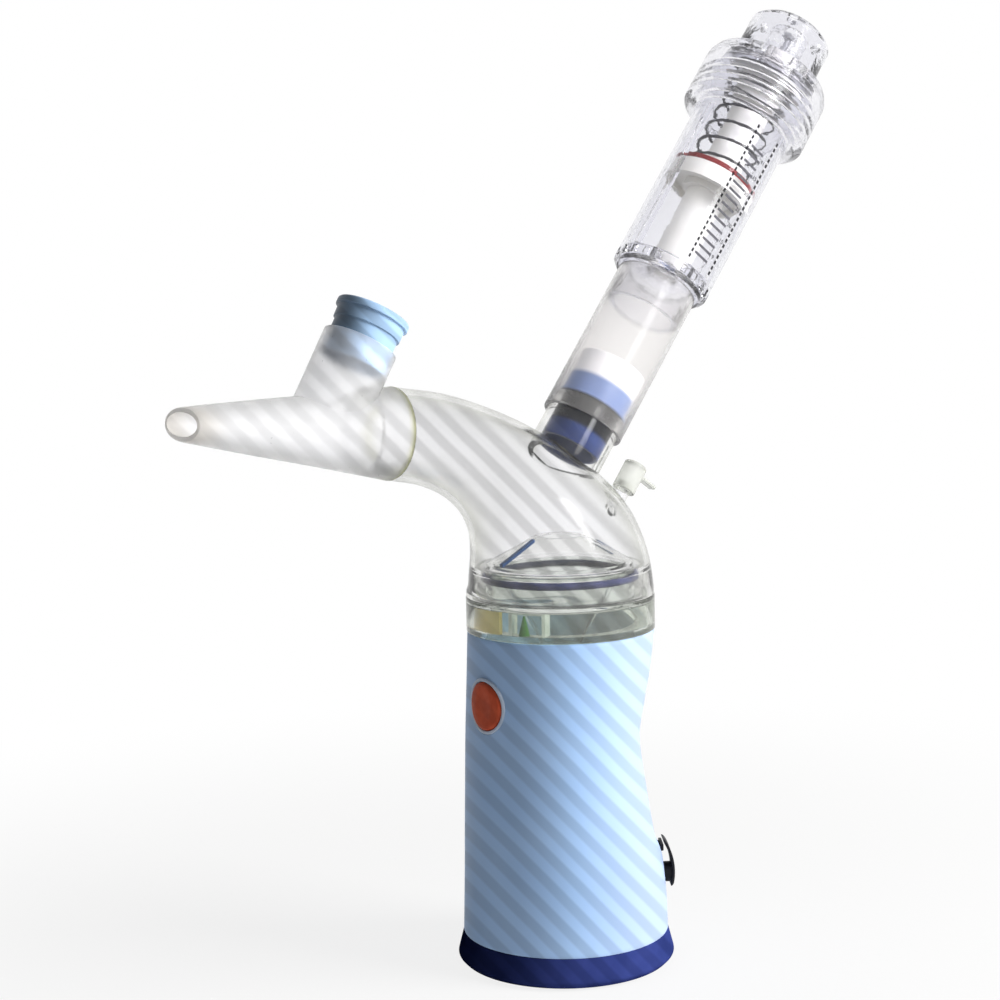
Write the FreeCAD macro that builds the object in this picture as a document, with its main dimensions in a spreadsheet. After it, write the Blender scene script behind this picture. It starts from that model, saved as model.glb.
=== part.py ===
import FreeCAD, Part
import Sketcher
import os
import re

# Breathing exerciser: a handheld ultrasonic nebuliser with an elbow head, a mouthpiece
# and a spring loaded inhalation trainer. Millimetres, Z up, mouthpiece toward -Y.

os.makedirs("parts", exist_ok=True)
doc = FreeCAD.newDocument("breathing_exerciser")
sheet = doc.addObject("Spreadsheet::Sheet", "sizes")

SIZES = [
    ("running_gap", "0.05"), ("face_gap", "0.2"),
    # base and foot
    ("foot_radius", "26"), ("foot_thick", "1.6"), ("foot_out", "0.6"),
    ("base_radius_low", "38.8"), ("base_radius_high", "36.6"), ("base_top", "11"),
    ("base_floor", "2.6"), ("base_chamfer", "2"), ("base_lip", "3.5"), ("lip_wall", "1.55"),
    ("lip_gap", "0.7"),
    ("screw_inset", "7.7"), ("screw_circle", "=base_radius_high - screw_inset"),
    ("screw_head", "2.6"), ("screw_shank", "1.2"), ("screw_head_deep", "1.3"), ("boss_radius", "3"),
    # sleeve
    ("sleeve_top", "119.6"), ("sleeve_radius_top", "33"), ("sleeve_wall", "2.2"), ("waist_depth", "9.9"),
    # water chamber
    ("collar_rise", "10.4"), ("collar_top", "=sleeve_top + collar_rise"),
    ("collar_proud", "0.3"), ("collar_radius", "=sleeve_radius_top + collar_proud"),
    ("tank_deep", "11.6"), ("tank_bottom", "=sleeve_top - tank_deep"),
    ("tank_inset", "4.9"), ("tank_radius", "=sleeve_radius_top - tank_inset"),
    ("tank_wall", "1.8"), ("tank_floor", "2"), ("lid_thick", "1.8"),
    ("neck_inner", "24.4"), ("neck_outer", "26.5"),
    ("neck_rise", "11"), ("neck_top", "=collar_top + neck_rise"),
    ("ring_below", "2.6"), ("ring_height", "=neck_top - ring_below"),
    ("ring_wire", "1.3"), ("ring_out", "0.3"), ("ring_middle", "=neck_outer + ring_out"),
    ("disc_radius", "10.2"), ("disc_thick", "1.2"),
    ("cup_inset", "0.6"), ("cup_rim", "=neck_outer - cup_inset"),
    ("cup_slack", "0.3"), ("cup_top", "=neck_inner - cup_slack"), ("cup_foot", "7"),
    ("cup_clear", "5"), ("cup_bottom", "=tank_bottom + cup_clear"), ("cup_wall", "1"),
    ("guard_rise", "2.4"), ("guard_edge", "=neck_top + guard_rise"),
    ("guard_cone", "9.2"), ("guard_peak", "=guard_edge + guard_cone"), ("guard_mouth", "9"),
    # frame inside the sleeve
    ("tray_bottom", "15"), ("tray_thick", "2"),
    ("tray_inset", "5"), ("tray_radius", "=base_radius_high - tray_inset"),
    ("spine_front", "8.5"), ("spine_thick", "2"), ("spine_half", "22"),
    ("deck_under", "4"), ("deck_bottom", "=tank_bottom - deck_under"), ("deck_thick", "2"),
    ("deck_inset", "4.8"), ("deck_radius", "=sleeve_radius_top - deck_inset"),
    ("deck_back", "1.5"), ("deck_hole", "8.5"),
    # cells
    ("cell_radius", "7.25"), ("cell_length", "49.5"), ("cell_nub", "1"),
    ("cell_half_gap", "0.35"), ("cell_across", "=cell_radius + cell_half_gap"),
    ("cell_back", "-6.4"), ("cell_front", "=cell_back - 2 * cell_across"), ("strap_thick", "0.3"),
    ("shelf_gap", "4"), ("shelf_bottom", "=tray_bottom + tray_thick + cell_length + shelf_gap"),
    # circuit board
    ("board_gap", "0.7"), ("board_thick", "1.6"), ("board_half", "20"), ("board_bottom", "20"),
    ("board_under", "4"), ("board_top", "=deck_bottom - board_under"),
    # button
    ("button_below", "23.4"), ("button_height", "=sleeve_top - button_below"),
    ("button_radius", "8.4"), ("button_out", "1"), ("button_travel", "1.2"),
    ("bezel_wide", "1.5"), ("bezel_radius", "=button_radius + bezel_wide"), ("bezel_out", "0.5"),
    ("flange_wide", "1.2"), ("flange_radius", "=button_radius + flange_wide"), ("flange_thick", "1.4"),
    ("bezel_deep", "4"), ("bezel_back", "=bezel_deep - sleeve_radius_top"),
    ("switch_deep", "12"), ("switch_face", "=switch_deep - sleeve_radius_top"), ("spring_wire", "0.35"),
    # power socket
    ("socket_angle", "55"), ("socket_height", "30"), ("socket_nose", "4.2"), ("socket_bore", "2.9"),
    ("socket_pin_radius", "1"), ("socket_depth", "9.5"), ("socket_entry", "3.2"),
    ("low_sleeve", "=sleeve_radius_top + 0.9 * ( base_radius_high - sleeve_radius_top )"),
    ("socket_inset", "1.6"), ("socket_face", "=low_sleeve - socket_inset"),
    ("cover_proud", "2.86"), ("cover_bulge", "=low_sleeve + cover_proud"),
    ("cover_curve", "22"), ("cover_thick", "1"), ("cover_half", "4.5"),
    ("cover_middle", "31"), ("cover_low", "25.6"), ("cover_top", "42.6"),
    ("anchor_gap", "0.12"),
    ("anchor_waist", "0.18"), ("anchor_seat", "=sleeve_radius_top + 0.74 * ( base_radius_high - sleeve_radius_top )"),
    ("anchor_in", "=anchor_seat - anchor_waist * waist_depth + anchor_gap"),
    ("anchor_thick", "1.1"), ("anchor_out", "=anchor_in + anchor_thick"),
    ("anchor_low", "38.8"), ("anchor_high", "2.4"),
    # elbow head
    ("dome_bottom", "=collar_top + lid_thick + face_gap"), ("dome_wall", "2"),
    ("dome_inset", "0.2"), ("dome_foot", "=collar_radius - dome_inset"),
    ("foot_rise", "10.5"), ("foot_height", "=dome_bottom + foot_rise"), ("groove_rise", "8.5"),
    ("outlet_y", "-69.8"), ("outlet_up", "61.1"), ("outlet_z", "=dome_bottom + outlet_up"),
    ("outlet_rise", "6"), ("outlet_radius", "15.4"),
    ("spigot_radius", "13.5"), ("spigot_bore", "11.6"), ("spigot_length", "11"),
    # trainer axis
    ("port_y", "11"), ("port_up", "59"), ("port_z", "=dome_bottom + port_up"), ("port_tilt", "36.5"),
    ("port_radius", "13.5"), ("port_bore", "11"), ("port_rim", "6"), ("port_deep", "16"),
    ("small_y", "28"), ("small_up", "32"), ("small_z", "=dome_bottom + small_up"),
    ("small_radius", "2.6"), ("small_bore", "1.3"),
    # mouthpiece
    ("mouth_length", "77"), ("mouth_root", "15.6"), ("mouth_wall", "1.6"), ("tip_half_wide", "11.5"),
    ("tip_half_high", "5.4"), ("side_at", "26.7"), ("side_lean", "24"), ("side_radius", "12.6"),
    ("side_bore", "11"), ("side_rim", "32"),
    # side valve
    ("fit_gap", "0.05"), ("side_fit", "=side_bore - fit_gap"), ("side_flange_radius", "13.3"),
    ("side_shown", "9.4"), ("side_flange", "2.4"), ("valve_wall", "1.4"), ("web_thick", "1.4"),
    ("disc_rubber", "0.7"), ("disc_lift", "1.4"), ("stud_radius", "1.2"),
    # inlet valve
    ("inlet_fit", "=port_bore - fit_gap"), ("inlet_bottom", "-10.5"), ("inlet_upper", "12.4"),
    ("inlet_top", "24"),
    # trainer
    ("tube_radius", "15"), ("tube_bore", "13.6"), ("tube_top", "59.8"),
    ("case_bottom", "60"), ("case_radius", "18.3"), ("case_bore", "16"), ("case_floor", "2.5"),
    ("case_top", "149"), ("case_flat", "17.2"), ("case_spigot", "=tube_bore - fit_gap"), ("case_air", "11.5"),
    ("key_half", "1"), ("key_high", "1.3"),
    ("bearing_high", "3.5"), ("bearing_top", "=case_bottom + case_floor + bearing_high"),
    ("pivot_radius", "3"),
    ("core_radius", "6.5"), ("core_top", "152.4"), ("core_neck", "5"), ("core_end", "161"),
    ("carrier_foot", "100"), ("carrier_slack", "0.5"), ("carrier_radius", "=case_bore - carrier_slack"),
    ("carrier_high", "5.4"), ("carrier_top", "=carrier_foot + carrier_high"),
    ("carrier_hollow", "13.2"), ("red_thick", "1.2"),
    ("coil_radius", "11"), ("coil_wire", "0.55"), ("coil_turns", "5.5"),
    ("poppet_under", "3.2"), ("poppet_bottom", "=case_top - poppet_under"), ("poppet_thick", "1.5"),
    ("poppet_radius", "14.4"), ("seal_thick", "1.6"), ("seat_hole", "11.2"), ("seat_thick", "2"),
    ("cap_bottom", "129"), ("cap_radius", "24"), ("cap_top", "155"), ("cap_shoulder", "5"),
    ("web_bottom", "152.4"), ("knob_radius", "15.8"), ("knob_top", "173.6"), ("knob_wall", "1.8"),
]
# middle line of the elbow: place along and up from the dome's foot, tilt and radius of each ring
ELBOW = [
    ("-1.1", "9.6", "13.7", "32.2"), ("-4.2", "18.6", "24.7", "30.4"),
    ("-9.6", "27.9", "34.7", "26.7"), ("-17.1", "37", "44.4", "22.4"),
    ("-26.8", "45.4", "54.2", "19.1"), ("-38.9", "52.5", "64.2", "16.9"),
    ("-53.2", "57.9", "74.2", "15.9"),
]
# share of the sleeve's height and share of the waist's depth
WAIST = [
    ("0", "0"), ("0.1", "0"), ("0.2", "0.07"), ("0.32", "0.46"), ("0.48", "0.745"),
    ("0.64", "0.96"), ("0.76", "0.66"), ("0.88", "0.27"), ("1", "0"),
]
# share of the mouthpiece's length, half width and half height there
MOUTH = [("0.35", "15", "11.9"), ("0.7", "13.2", "8.5")]
for index, ring in enumerate(ELBOW, start=1):
    SIZES += [(f"elbow_{kind}_{index}", text) for kind, text in zip(("along", "up", "tilt", "size"), ring)]
for index, ring in enumerate(WAIST, start=1):
    SIZES += [(f"waist_{kind}_{index}", text) for kind, text in zip(("share", "depth"), ring)]
for index, ring in enumerate(MOUTH, start=1):
    SIZES += [(f"mouth_{kind}_{index}", text) for kind, text in zip(("share", "wide", "high"), ring)]

NAMES = set()
for row, (alias, text) in enumerate(SIZES, start=1):
    sheet.set(f"A{row}", alias)
    sheet.set(f"B{row}", text)
    sheet.setAlias(f"B{row}", alias)
    NAMES.add(alias)
sheet.recompute()
SPARE = f"C{len(SIZES) + 2}"


def formula(text):
    """A formula in sheet names, written for use outside the sheet."""
    return re.sub("[a-z_][a-z_0-9]*", lambda word: known(word.group()), str(text))


def known(word):
    return "sizes." + word if word in NAMES else word


def number(text):
    """The present value of a formula, read through a spare cell of the sheet."""
    sheet.set(SPARE, "=" + str(text))
    sheet.recompute()
    return float(sheet.get(SPARE))


def bind(item, **properties):
    for name, text in properties.items():
        item.setExpression(name, formula(text))


def at(item, x="0", y="0", z="0"):
    for axis, text in (("x", x), ("y", y), ("z", z)):
        item.setExpression("Placement.Base." + axis, formula(text))
    return item


def turn(item, axis, degrees):
    item.Placement.Rotation = FreeCAD.Rotation(FreeCAD.Vector(*axis), 1.0)
    item.setExpression("Placement.Rotation.Angle", formula(degrees))
    return item


def label(item, name):
    item.Label = name
    return item


def turned(name, *profiles):
    """A body of revolution round its own Z axis from closed outlines of (radius, height)."""
    body = label(doc.addObject("PartDesign::Body", name), name)
    sketch = body.newObject("Sketcher::SketchObject", name + "_outline")
    plane = [item for item in body.Origin.OriginFeatures if item.Role == "XZ_Plane"][0]
    sketch.AttachmentSupport = [(plane, "")]
    sketch.MapMode = "FlatFace"
    for points in profiles:
        places = [FreeCAD.Vector(number(radius), number(height), 0) for radius, height in points]
        first = sketch.GeometryCount
        count = len(points)
        for index in range(count):
            sketch.addGeometry(Part.LineSegment(places[index], places[(index + 1) % count]), False)
        for index in range(count):
            line = first + index
            following = first + (index + 1) % count
            sketch.addConstraint(Sketcher.Constraint("Coincident", line, 2, following, 1))
            for kind, amount, text in (("DistanceX", places[index].x, points[index][0]),
                                       ("DistanceY", places[index].y, points[index][1])):
                made = sketch.addConstraint(Sketcher.Constraint(kind, -1, 1, line, 1, amount))
                sketch.setExpression(f"Constraints[{made}]", formula(text))
    turning = body.newObject("PartDesign::Revolution", name + "_turned")
    turning.Profile = sketch
    turning.ReferenceAxis = (sketch, ["V_Axis"])
    turning.Angle = 360
    body.Tip = turning
    return body


def slab(name, size, corner, middle=True):
    """A box given by its size and the middle of its base, or its lowest corner."""
    box = label(doc.addObject("Part::Box", name), name)
    bind(box, Length=size[0], Width=size[1], Height=size[2])
    shift = (f"{corner[0]} - ({size[0]}) / 2", f"{corner[1]} - ({size[1]}) / 2") if middle else corner[:2]
    return at(box, shift[0], shift[1], corner[2])


def rod(name, radius, height, place=("0", "0", "0"), axis=None, degrees="90"):
    bar = label(doc.addObject("Part::Cylinder", name), name)
    bind(bar, Radius=radius, Height=height)
    if axis:
        turn(bar, axis, degrees)
    return at(bar, *place)


def cut(name, base, *tools):
    tool = tools[0] if len(tools) == 1 else join(name + "_tools", *tools)
    made = label(doc.addObject("Part::Cut", name), name)
    made.Base = base
    made.Tool = tool
    return made


def join(name, *pieces):
    made = label(doc.addObject("Part::MultiFuse", name), name)
    made.Shapes = list(pieces)
    made.Refine = True
    return made


def shared(name, *pieces):
    made = label(doc.addObject("Part::MultiCommon", name), name)
    made.Shapes = list(pieces)
    return made


def group(name, *pieces):
    made = label(doc.addObject("Part::Compound", name), name)
    made.Links = list(pieces)
    return made


def lofted(name, stations, inset="0"):
    """A smooth skin through ellipses of (half across, half along, x, y, z, tilt)."""
    rings = []
    for index, (across, along, x, y, z, tilt) in enumerate(stations):
        ring = label(doc.addObject("Part::Ellipse", f"{name}_ring_{index}"), f"{name}_ring_{index}")
        bind(ring, MajorRadius=f"{across} - {inset}", MinorRadius=f"{along} - {inset}")
        if tilt != "0":
            turn(ring, (1, 0, 0), tilt)
        at(ring, x, y, z)
        rings.append(ring)
    skin = label(doc.addObject("Part::Loft", name), name)
    skin.Sections = rings
    skin.Solid = True
    skin.Ruled = False
    return skin


def on_trainer(item, shift="0"):
    """Stand a piece made round Z on the tilted trainer axis."""
    turn(item, (-1, 0, 0), "port_tilt")
    return at(item, "0", f"port_y + ({shift}) * sin(port_tilt * 1 deg)",
              f"port_z + ({shift}) * cos(port_tilt * 1 deg)")


def on_side_port(item):
    """Stand a piece made round Z on the mouthpiece's leaning side port."""
    turn(item, (-1, 0, 0), "side_lean + outlet_rise")
    return at(item, "0", "outlet_y - side_at * cos(outlet_rise * 1 deg)",
              "outlet_z + side_at * sin(outlet_rise * 1 deg)")


def on_outlet(item):
    """Stand a piece made round Z on the outlet axis, which rises toward the mouth."""
    turn(item, (1, 0, 0), "90 - outlet_rise")
    return at(item, "0", "outlet_y", "outlet_z")


def on_small_port(item):
    turn(item, (-1, 0, 0), "port_tilt")
    return at(item, "0", "small_y", "small_z")


def swung(name, *pieces):
    """Pieces made toward +X, turned to the power socket's side."""
    return turn(group(name, *pieces), (0, 0, 1), "socket_angle")


def round_holes(name, count, circle, radius, low, height, start=0):
    """Upright rods evenly spaced on a circle."""
    rods = []
    for index in range(count):
        angle = start + 360 * index / count
        place = (f"({circle}) * cos({angle} * 1 deg)", f"({circle}) * sin({angle} * 1 deg)", low)
        rods.append(rod(f"{name}_{index}", radius, height, place))
    return rods


def sleeve_stations():
    stations = []
    for index in range(1, len(WAIST) + 1):
        share = f"waist_share_{index}"
        deep = f"waist_depth * waist_depth_{index}"
        radius = f"( sleeve_radius_top + ( base_radius_high - sleeve_radius_top ) * ( 1 - {share} ) )"
        stations.append((f"{radius} - 0.14 * {deep}", f"{radius} - {deep} / 2 - 0.001", "0",
                         f"-1 * {deep} / 2", f"base_top + {share} * ( sleeve_top - base_top )", "0"))
    return stations


def base():
    outer_lip = "base_radius_high - sleeve_wall - lip_gap"
    cup = turned("base_cup", [
        ("0", "foot_thick"), ("foot_radius + running_gap", "foot_thick"),
        ("foot_radius + running_gap", "foot_out"), ("base_radius_low - base_chamfer", "foot_out"),
        ("base_radius_low", "foot_out + base_chamfer"), ("base_radius_high", "base_top"),
        (outer_lip, "base_top"), (outer_lip, "base_top + base_lip"),
        (outer_lip + " - lip_wall", "base_top + base_lip"),
        (outer_lip + " - lip_wall", "foot_out + base_floor"), ("0", "foot_out + base_floor")])
    holes = round_holes("base_hole", 3, "screw_circle", "screw_shank + 0.3", "0", "10", 30)
    heads = round_holes("base_head", 3, "screw_circle", "screw_head + 0.2", "0",
                        "foot_out + screw_head_deep", 30)
    cover = cut("base_cover", cup, *holes, *heads)
    pad = rod("foot_pad", "foot_radius", "foot_thick")
    shanks = round_holes("screw_body", 3, "screw_circle", "screw_shank", "foot_out + screw_head_deep",
                         "11", 30)
    caps = round_holes("screw_cap", 3, "screw_circle", "screw_head", "foot_out + 0.1",
                       "screw_head_deep - 0.1", 30)
    drives = round_holes("screw_drive", 3, "screw_circle", "0.8", "foot_out", "0.8", 30)
    return [cover, pad, cut("base_screws", join("screw_blanks", *shanks, *caps), *drives)]


def frame():
    tray_top = "tray_bottom + tray_thick"
    foot = "foot_out + base_floor + running_gap"
    tray = rod("tray", "tray_radius", "tray_thick", ("0", "0", "tray_bottom"))
    bosses = round_holes("boss", 3, "screw_circle", "boss_radius", foot,
                         "tray_bottom - ( " + foot + " )", 30)
    pilots = round_holes("pilot", 3, "screw_circle", "screw_shank + 0.02", "0",
                         "tray_bottom + 0.5", 30)
    spine = slab("spine", ("2 * spine_half", "spine_thick", "deck_bottom - tray_bottom"),
                 ("0", "spine_front + spine_thick / 2", "tray_bottom"))
    shelf = slab("shelf", ("31", "spine_front + 28.5", "2"),
                 ("0", "( spine_front - 28.5 ) / 2", "shelf_bottom"))
    bracket = slab("bracket", ("22", "1.5", "deck_bottom - shelf_bottom"),
                   ("0", "switch_face + board_thick + 0.75", "shelf_bottom"))
    deck = cut("deck", rod("deck_disc", "deck_radius", "deck_thick", ("0", "-1 * deck_back", "deck_bottom")),
               rod("deck_opening", "deck_hole", "deck_thick + 2", ("0", "0", "deck_bottom - 1")),
               slab("deck_front_cut", ("2 * deck_radius + 4", "8", "deck_thick + 2"),
                    ("0", "bezel_back - 0.9", "deck_bottom - 1")))
    back = "spine_front + spine_thick"
    studs = [rod(f"stud_{index}", "2.4", "board_gap", (x, back, z), (-1, 0, 0))
             for index, (x, z) in enumerate(BOARD_SCREWS)]
    threads = [rod(f"stud_hole_{index}", "1.12", "8", (x, "spine_front - 1", z), (-1, 0, 0))
               for index, (x, z) in enumerate(BOARD_SCREWS)]
    return [cut("chassis", join("chassis_blank", tray, *bosses, spine, shelf, bracket, deck, *studs),
                *pilots, *threads)]


BOARD_SCREWS = [("-16.5", "26"), ("16.5", "34"), ("-16.5", "94"), ("16.5", "94")]


def cells():
    floor = "tray_bottom + tray_thick + 2 * running_gap + strap_thick"
    cans = []
    for x in ("-1 * cell_across", "cell_across"):
        for y in ("cell_front", "cell_back"):
            index = len(cans)
            can = rod(f"can_{index}", "cell_radius", "cell_length - cell_nub", (x, y, floor))
            nub = rod(f"nub_{index}", "2.7", "cell_nub", (x, y, floor + " + cell_length - cell_nub"))
            cans.append(join(f"cell_{index}", can, nub))
    straps = []
    for y in ("cell_front", "cell_back"):
        for z in ("tray_bottom + tray_thick + running_gap", floor + " + cell_length + running_gap"):
            straps.append(slab(f"strap_{len(straps)}", ("2 * cell_across + 6", "6", "strap_thick"),
                               ("0", y, z)))
    return [group("battery_cells", *cans), group("cell_straps", *straps)]


def electronics():
    front = "spine_front + spine_thick + board_gap"
    back = front + " + board_thick"
    panel = slab("panel", ("2 * board_half", "board_thick", "board_top - board_bottom"),
                 ("0", front + " + board_thick / 2", "board_bottom"))
    holes = [rod(f"panel_hole_{index}", "1.2", "6", (x, "spine_front + 1", z), (-1, 0, 0))
             for index, (x, z) in enumerate(BOARD_SCREWS)]
    board = cut("circuit_board", panel, *holes)
    screws = []
    for index, (x, z) in enumerate(BOARD_SCREWS):
        shank = rod(f"fixing_{index}", "1.1", "5", (x, back + " - 5", z), (-1, 0, 0))
        head = rod(f"fixing_head_{index}", "2.3", "1.3", (x, back, z), (-1, 0, 0))
        screws.append(join(f"board_screw_{index}", shank, head))
    chips = group("driver_chip",
                  slab("chip_large", ("10", "1.8", "10"), ("-5", back + " + 0.9", "72")),
                  slab("chip_small", ("6", "1.5", "8"), ("11", back + " + 0.75", "64")))
    coil = cut("coil", rod("coil_drum", "5.4", "6.4", ("9", back, "84"), (-1, 0, 0)),
               rod("coil_well", "1.6", "3", ("9", back + " + 4", "84"), (-1, 0, 0)))
    cans = group("capacitors", rod("can_left", "3.1", "7.4", ("-11", back, "54"), (-1, 0, 0)),
                 rod("can_right", "3.1", "7.4", ("-3", back, "54"), (-1, 0, 0)))
    header = slab("pin_header", ("9", "5.2", "6"), ("-11", back + " + 2.6", "36"))
    return [board, group("board_screws", *screws), chips, coil, cans, header]


def button_set():
    face = "( sleeve_radius_top + ( base_radius_high - sleeve_radius_top ) * ( sleeve_top - button_height )" \
           " / ( sleeve_top - base_top ) )"
    low = "button_height - 14"
    flange_front = "bezel_back + running_gap"
    flange_back = flange_front + " + flange_thick"
    post = rod("button_post", "button_radius", "16", ("0", flange_back, "button_height"), (1, 0, 0))
    curve = rod("button_curve", face + " + button_out", "28", ("0", "0", low))
    dish = label(doc.addObject("Part::Sphere", "button_dish"), "button_dish")
    bind(dish, Radius="40")
    at(dish, "0", "-1 * " + face + " - button_out - 39.5", "button_height")
    flange = rod("button_flange", "flange_radius", "flange_thick",
                 ("0", flange_back, "button_height"), (1, 0, 0))
    stem = rod("button_stem", "2", "0.6", ("0", flange_back + " + 0.6", "button_height"), (1, 0, 0))
    cap = cut("button_cap", shared("button_front", post, curve), dish)
    button = join("button", cap, flange, stem)
    ring = cut("bezel_ring",
               rod("bezel_rod", "bezel_radius", "12", ("0", "bezel_back", "button_height"), (1, 0, 0)),
               rod("bezel_hole", "button_radius + 0.12", "14", ("0", "bezel_back + 1", "button_height"),
                   (1, 0, 0)))
    bezel = shared("button_bezel", ring, rod("bezel_curve", face + " + bezel_out", "28", ("0", "0", low)))
    card = slab("switch_board", ("18", "board_thick", "17.5"),
                ("0", "switch_face + board_thick / 2", "button_height - 10.2"))
    body = slab("switch_body", ("6.2", "3.4", "6.2"), ("0", "switch_face - 1.7", "button_height - 3.1"))
    plunger = rod("switch_plunger", "1.7", "1.2", ("0", "switch_face - 3.4", "button_height"), (1, 0, 0))
    switch = join("tact_switch", body, plunger)
    spring = coiled("button_spring", "5.3", "spring_wire", "4", "switch_face - 0.05",
                    flange_back + " + 0.05")
    turn(spring, (1, 0, 0), "90")
    at(spring, "0", "switch_face - 0.05", "button_height")
    return [button, bezel, card, switch, spring]


def coiled(name, radius, wire, turns, start, end):
    """A round wire wound up along +Z between two heights, with its own origin at the start."""
    length = f"abs( ({end}) - ({start}) ) - 2 * {wire}"
    path = label(doc.addObject("Part::Helix", name + "_path"), name + "_path")
    bind(path, Radius=radius, Height=length, Pitch=f"( {length} ) / ({turns})")
    section = label(doc.addObject("Part::Circle", name + "_wire"), name + "_wire")
    bind(section, Radius=wire)
    turn(section, (1, 0, 0), "90")
    at(path, "0", "0", wire)
    at(section, radius, "0", wire)
    made = label(doc.addObject("Part::Sweep", name), name)
    made.Sections = [section]
    made.Spine = (path, [])
    made.Solid = True
    made.Frenet = True
    return made


def socket_set():
    height = "socket_height"
    floor = "tray_bottom + tray_thick + running_gap"
    body = slab("jack_body", ("10", "9", height + " + socket_nose + 0.6 - ( " + floor + " )"),
                ("socket_face - 8", "0", floor))
    nose = rod("jack_nose", "socket_nose", "4", ("socket_face - 4", "0", height), (0, 1, 0))
    entry = rod("jack_entry", "socket_bore", "socket_entry + 1", ("socket_face - socket_entry", "0", height),
                (0, 1, 0))
    chamber = rod("jack_chamber", "socket_bore + 0.6", "socket_depth - socket_entry",
                  ("socket_face - socket_depth", "0", height), (0, 1, 0))
    socket = turn(cut("power_socket", join("jack_blank", body, nose), entry, chamber),
                  (0, 0, 1), "socket_angle")
    pin = swung("socket_pin", rod("jack_pin", "socket_pin_radius", "socket_depth - socket_entry - 0.1",
                                  ("socket_face - socket_depth", "0", height), (0, 1, 0)))
    block = slab("anchor_block", ("anchor_out - anchor_in", "2 * cover_half", "anchor_high"),
                 ("( anchor_out + anchor_in ) / 2", "0", "anchor_low"))
    middle = "anchor_low + anchor_high / 2"
    neck = rod("anchor_neck", "1.5", "4.9", ("anchor_in - 4.6", "0", middle), (0, 1, 0))
    knob = rod("anchor_knob", "2.4", "1", ("anchor_in - 5", "0", middle), (0, 1, 0))
    anchor = turn(join("cover_anchor", block, neck, knob), (0, 0, 1), "socket_angle")
    hub = ("cover_bulge - cover_curve", "cover_half", "cover_middle")
    skin = cut("flap_ring", rod("flap_outer", "cover_curve", "2 * cover_half", hub, (1, 0, 0)),
               rod("flap_inner", "cover_curve - cover_thick", "2 * cover_half", hub, (1, 0, 0)))
    window = slab("flap_window", ("10", "2 * cover_half", "cover_top - cover_low"),
                  ("cover_bulge - 3", "0", "cover_low"))
    pad = rod("flap_pad", "3.6", "3.2", ("socket_face + 0.6", "0", height), (0, 1, 0))
    cover = turn(join("socket_cover", shared("flap_strip", skin, window), pad), (0, 0, 1), "socket_angle")
    return [socket, pin, anchor, cover]


def sleeve():
    outer = lofted("sleeve_outer", sleeve_stations())
    inner = lofted("sleeve_inner", sleeve_stations(), "sleeve_wall")
    button_hole = rod("sleeve_button_hole", "bezel_radius + running_gap", "20",
                      ("0", "-22", "button_height"), (1, 0, 0))
    socket_hole = rod("sleeve_socket_hole", "socket_nose + 0.3", "12",
                      ("socket_face - 7", "0", "socket_height"), (0, 1, 0))
    anchor_hole = rod("sleeve_anchor_hole", "1.55", "12",
                      ("anchor_in - 8", "0", "anchor_low + anchor_high / 2"), (0, 1, 0))
    return [cut("body_shell", outer, inner, button_hole,
                swung("sleeve_back_holes", socket_hole, anchor_hole))]


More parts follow.
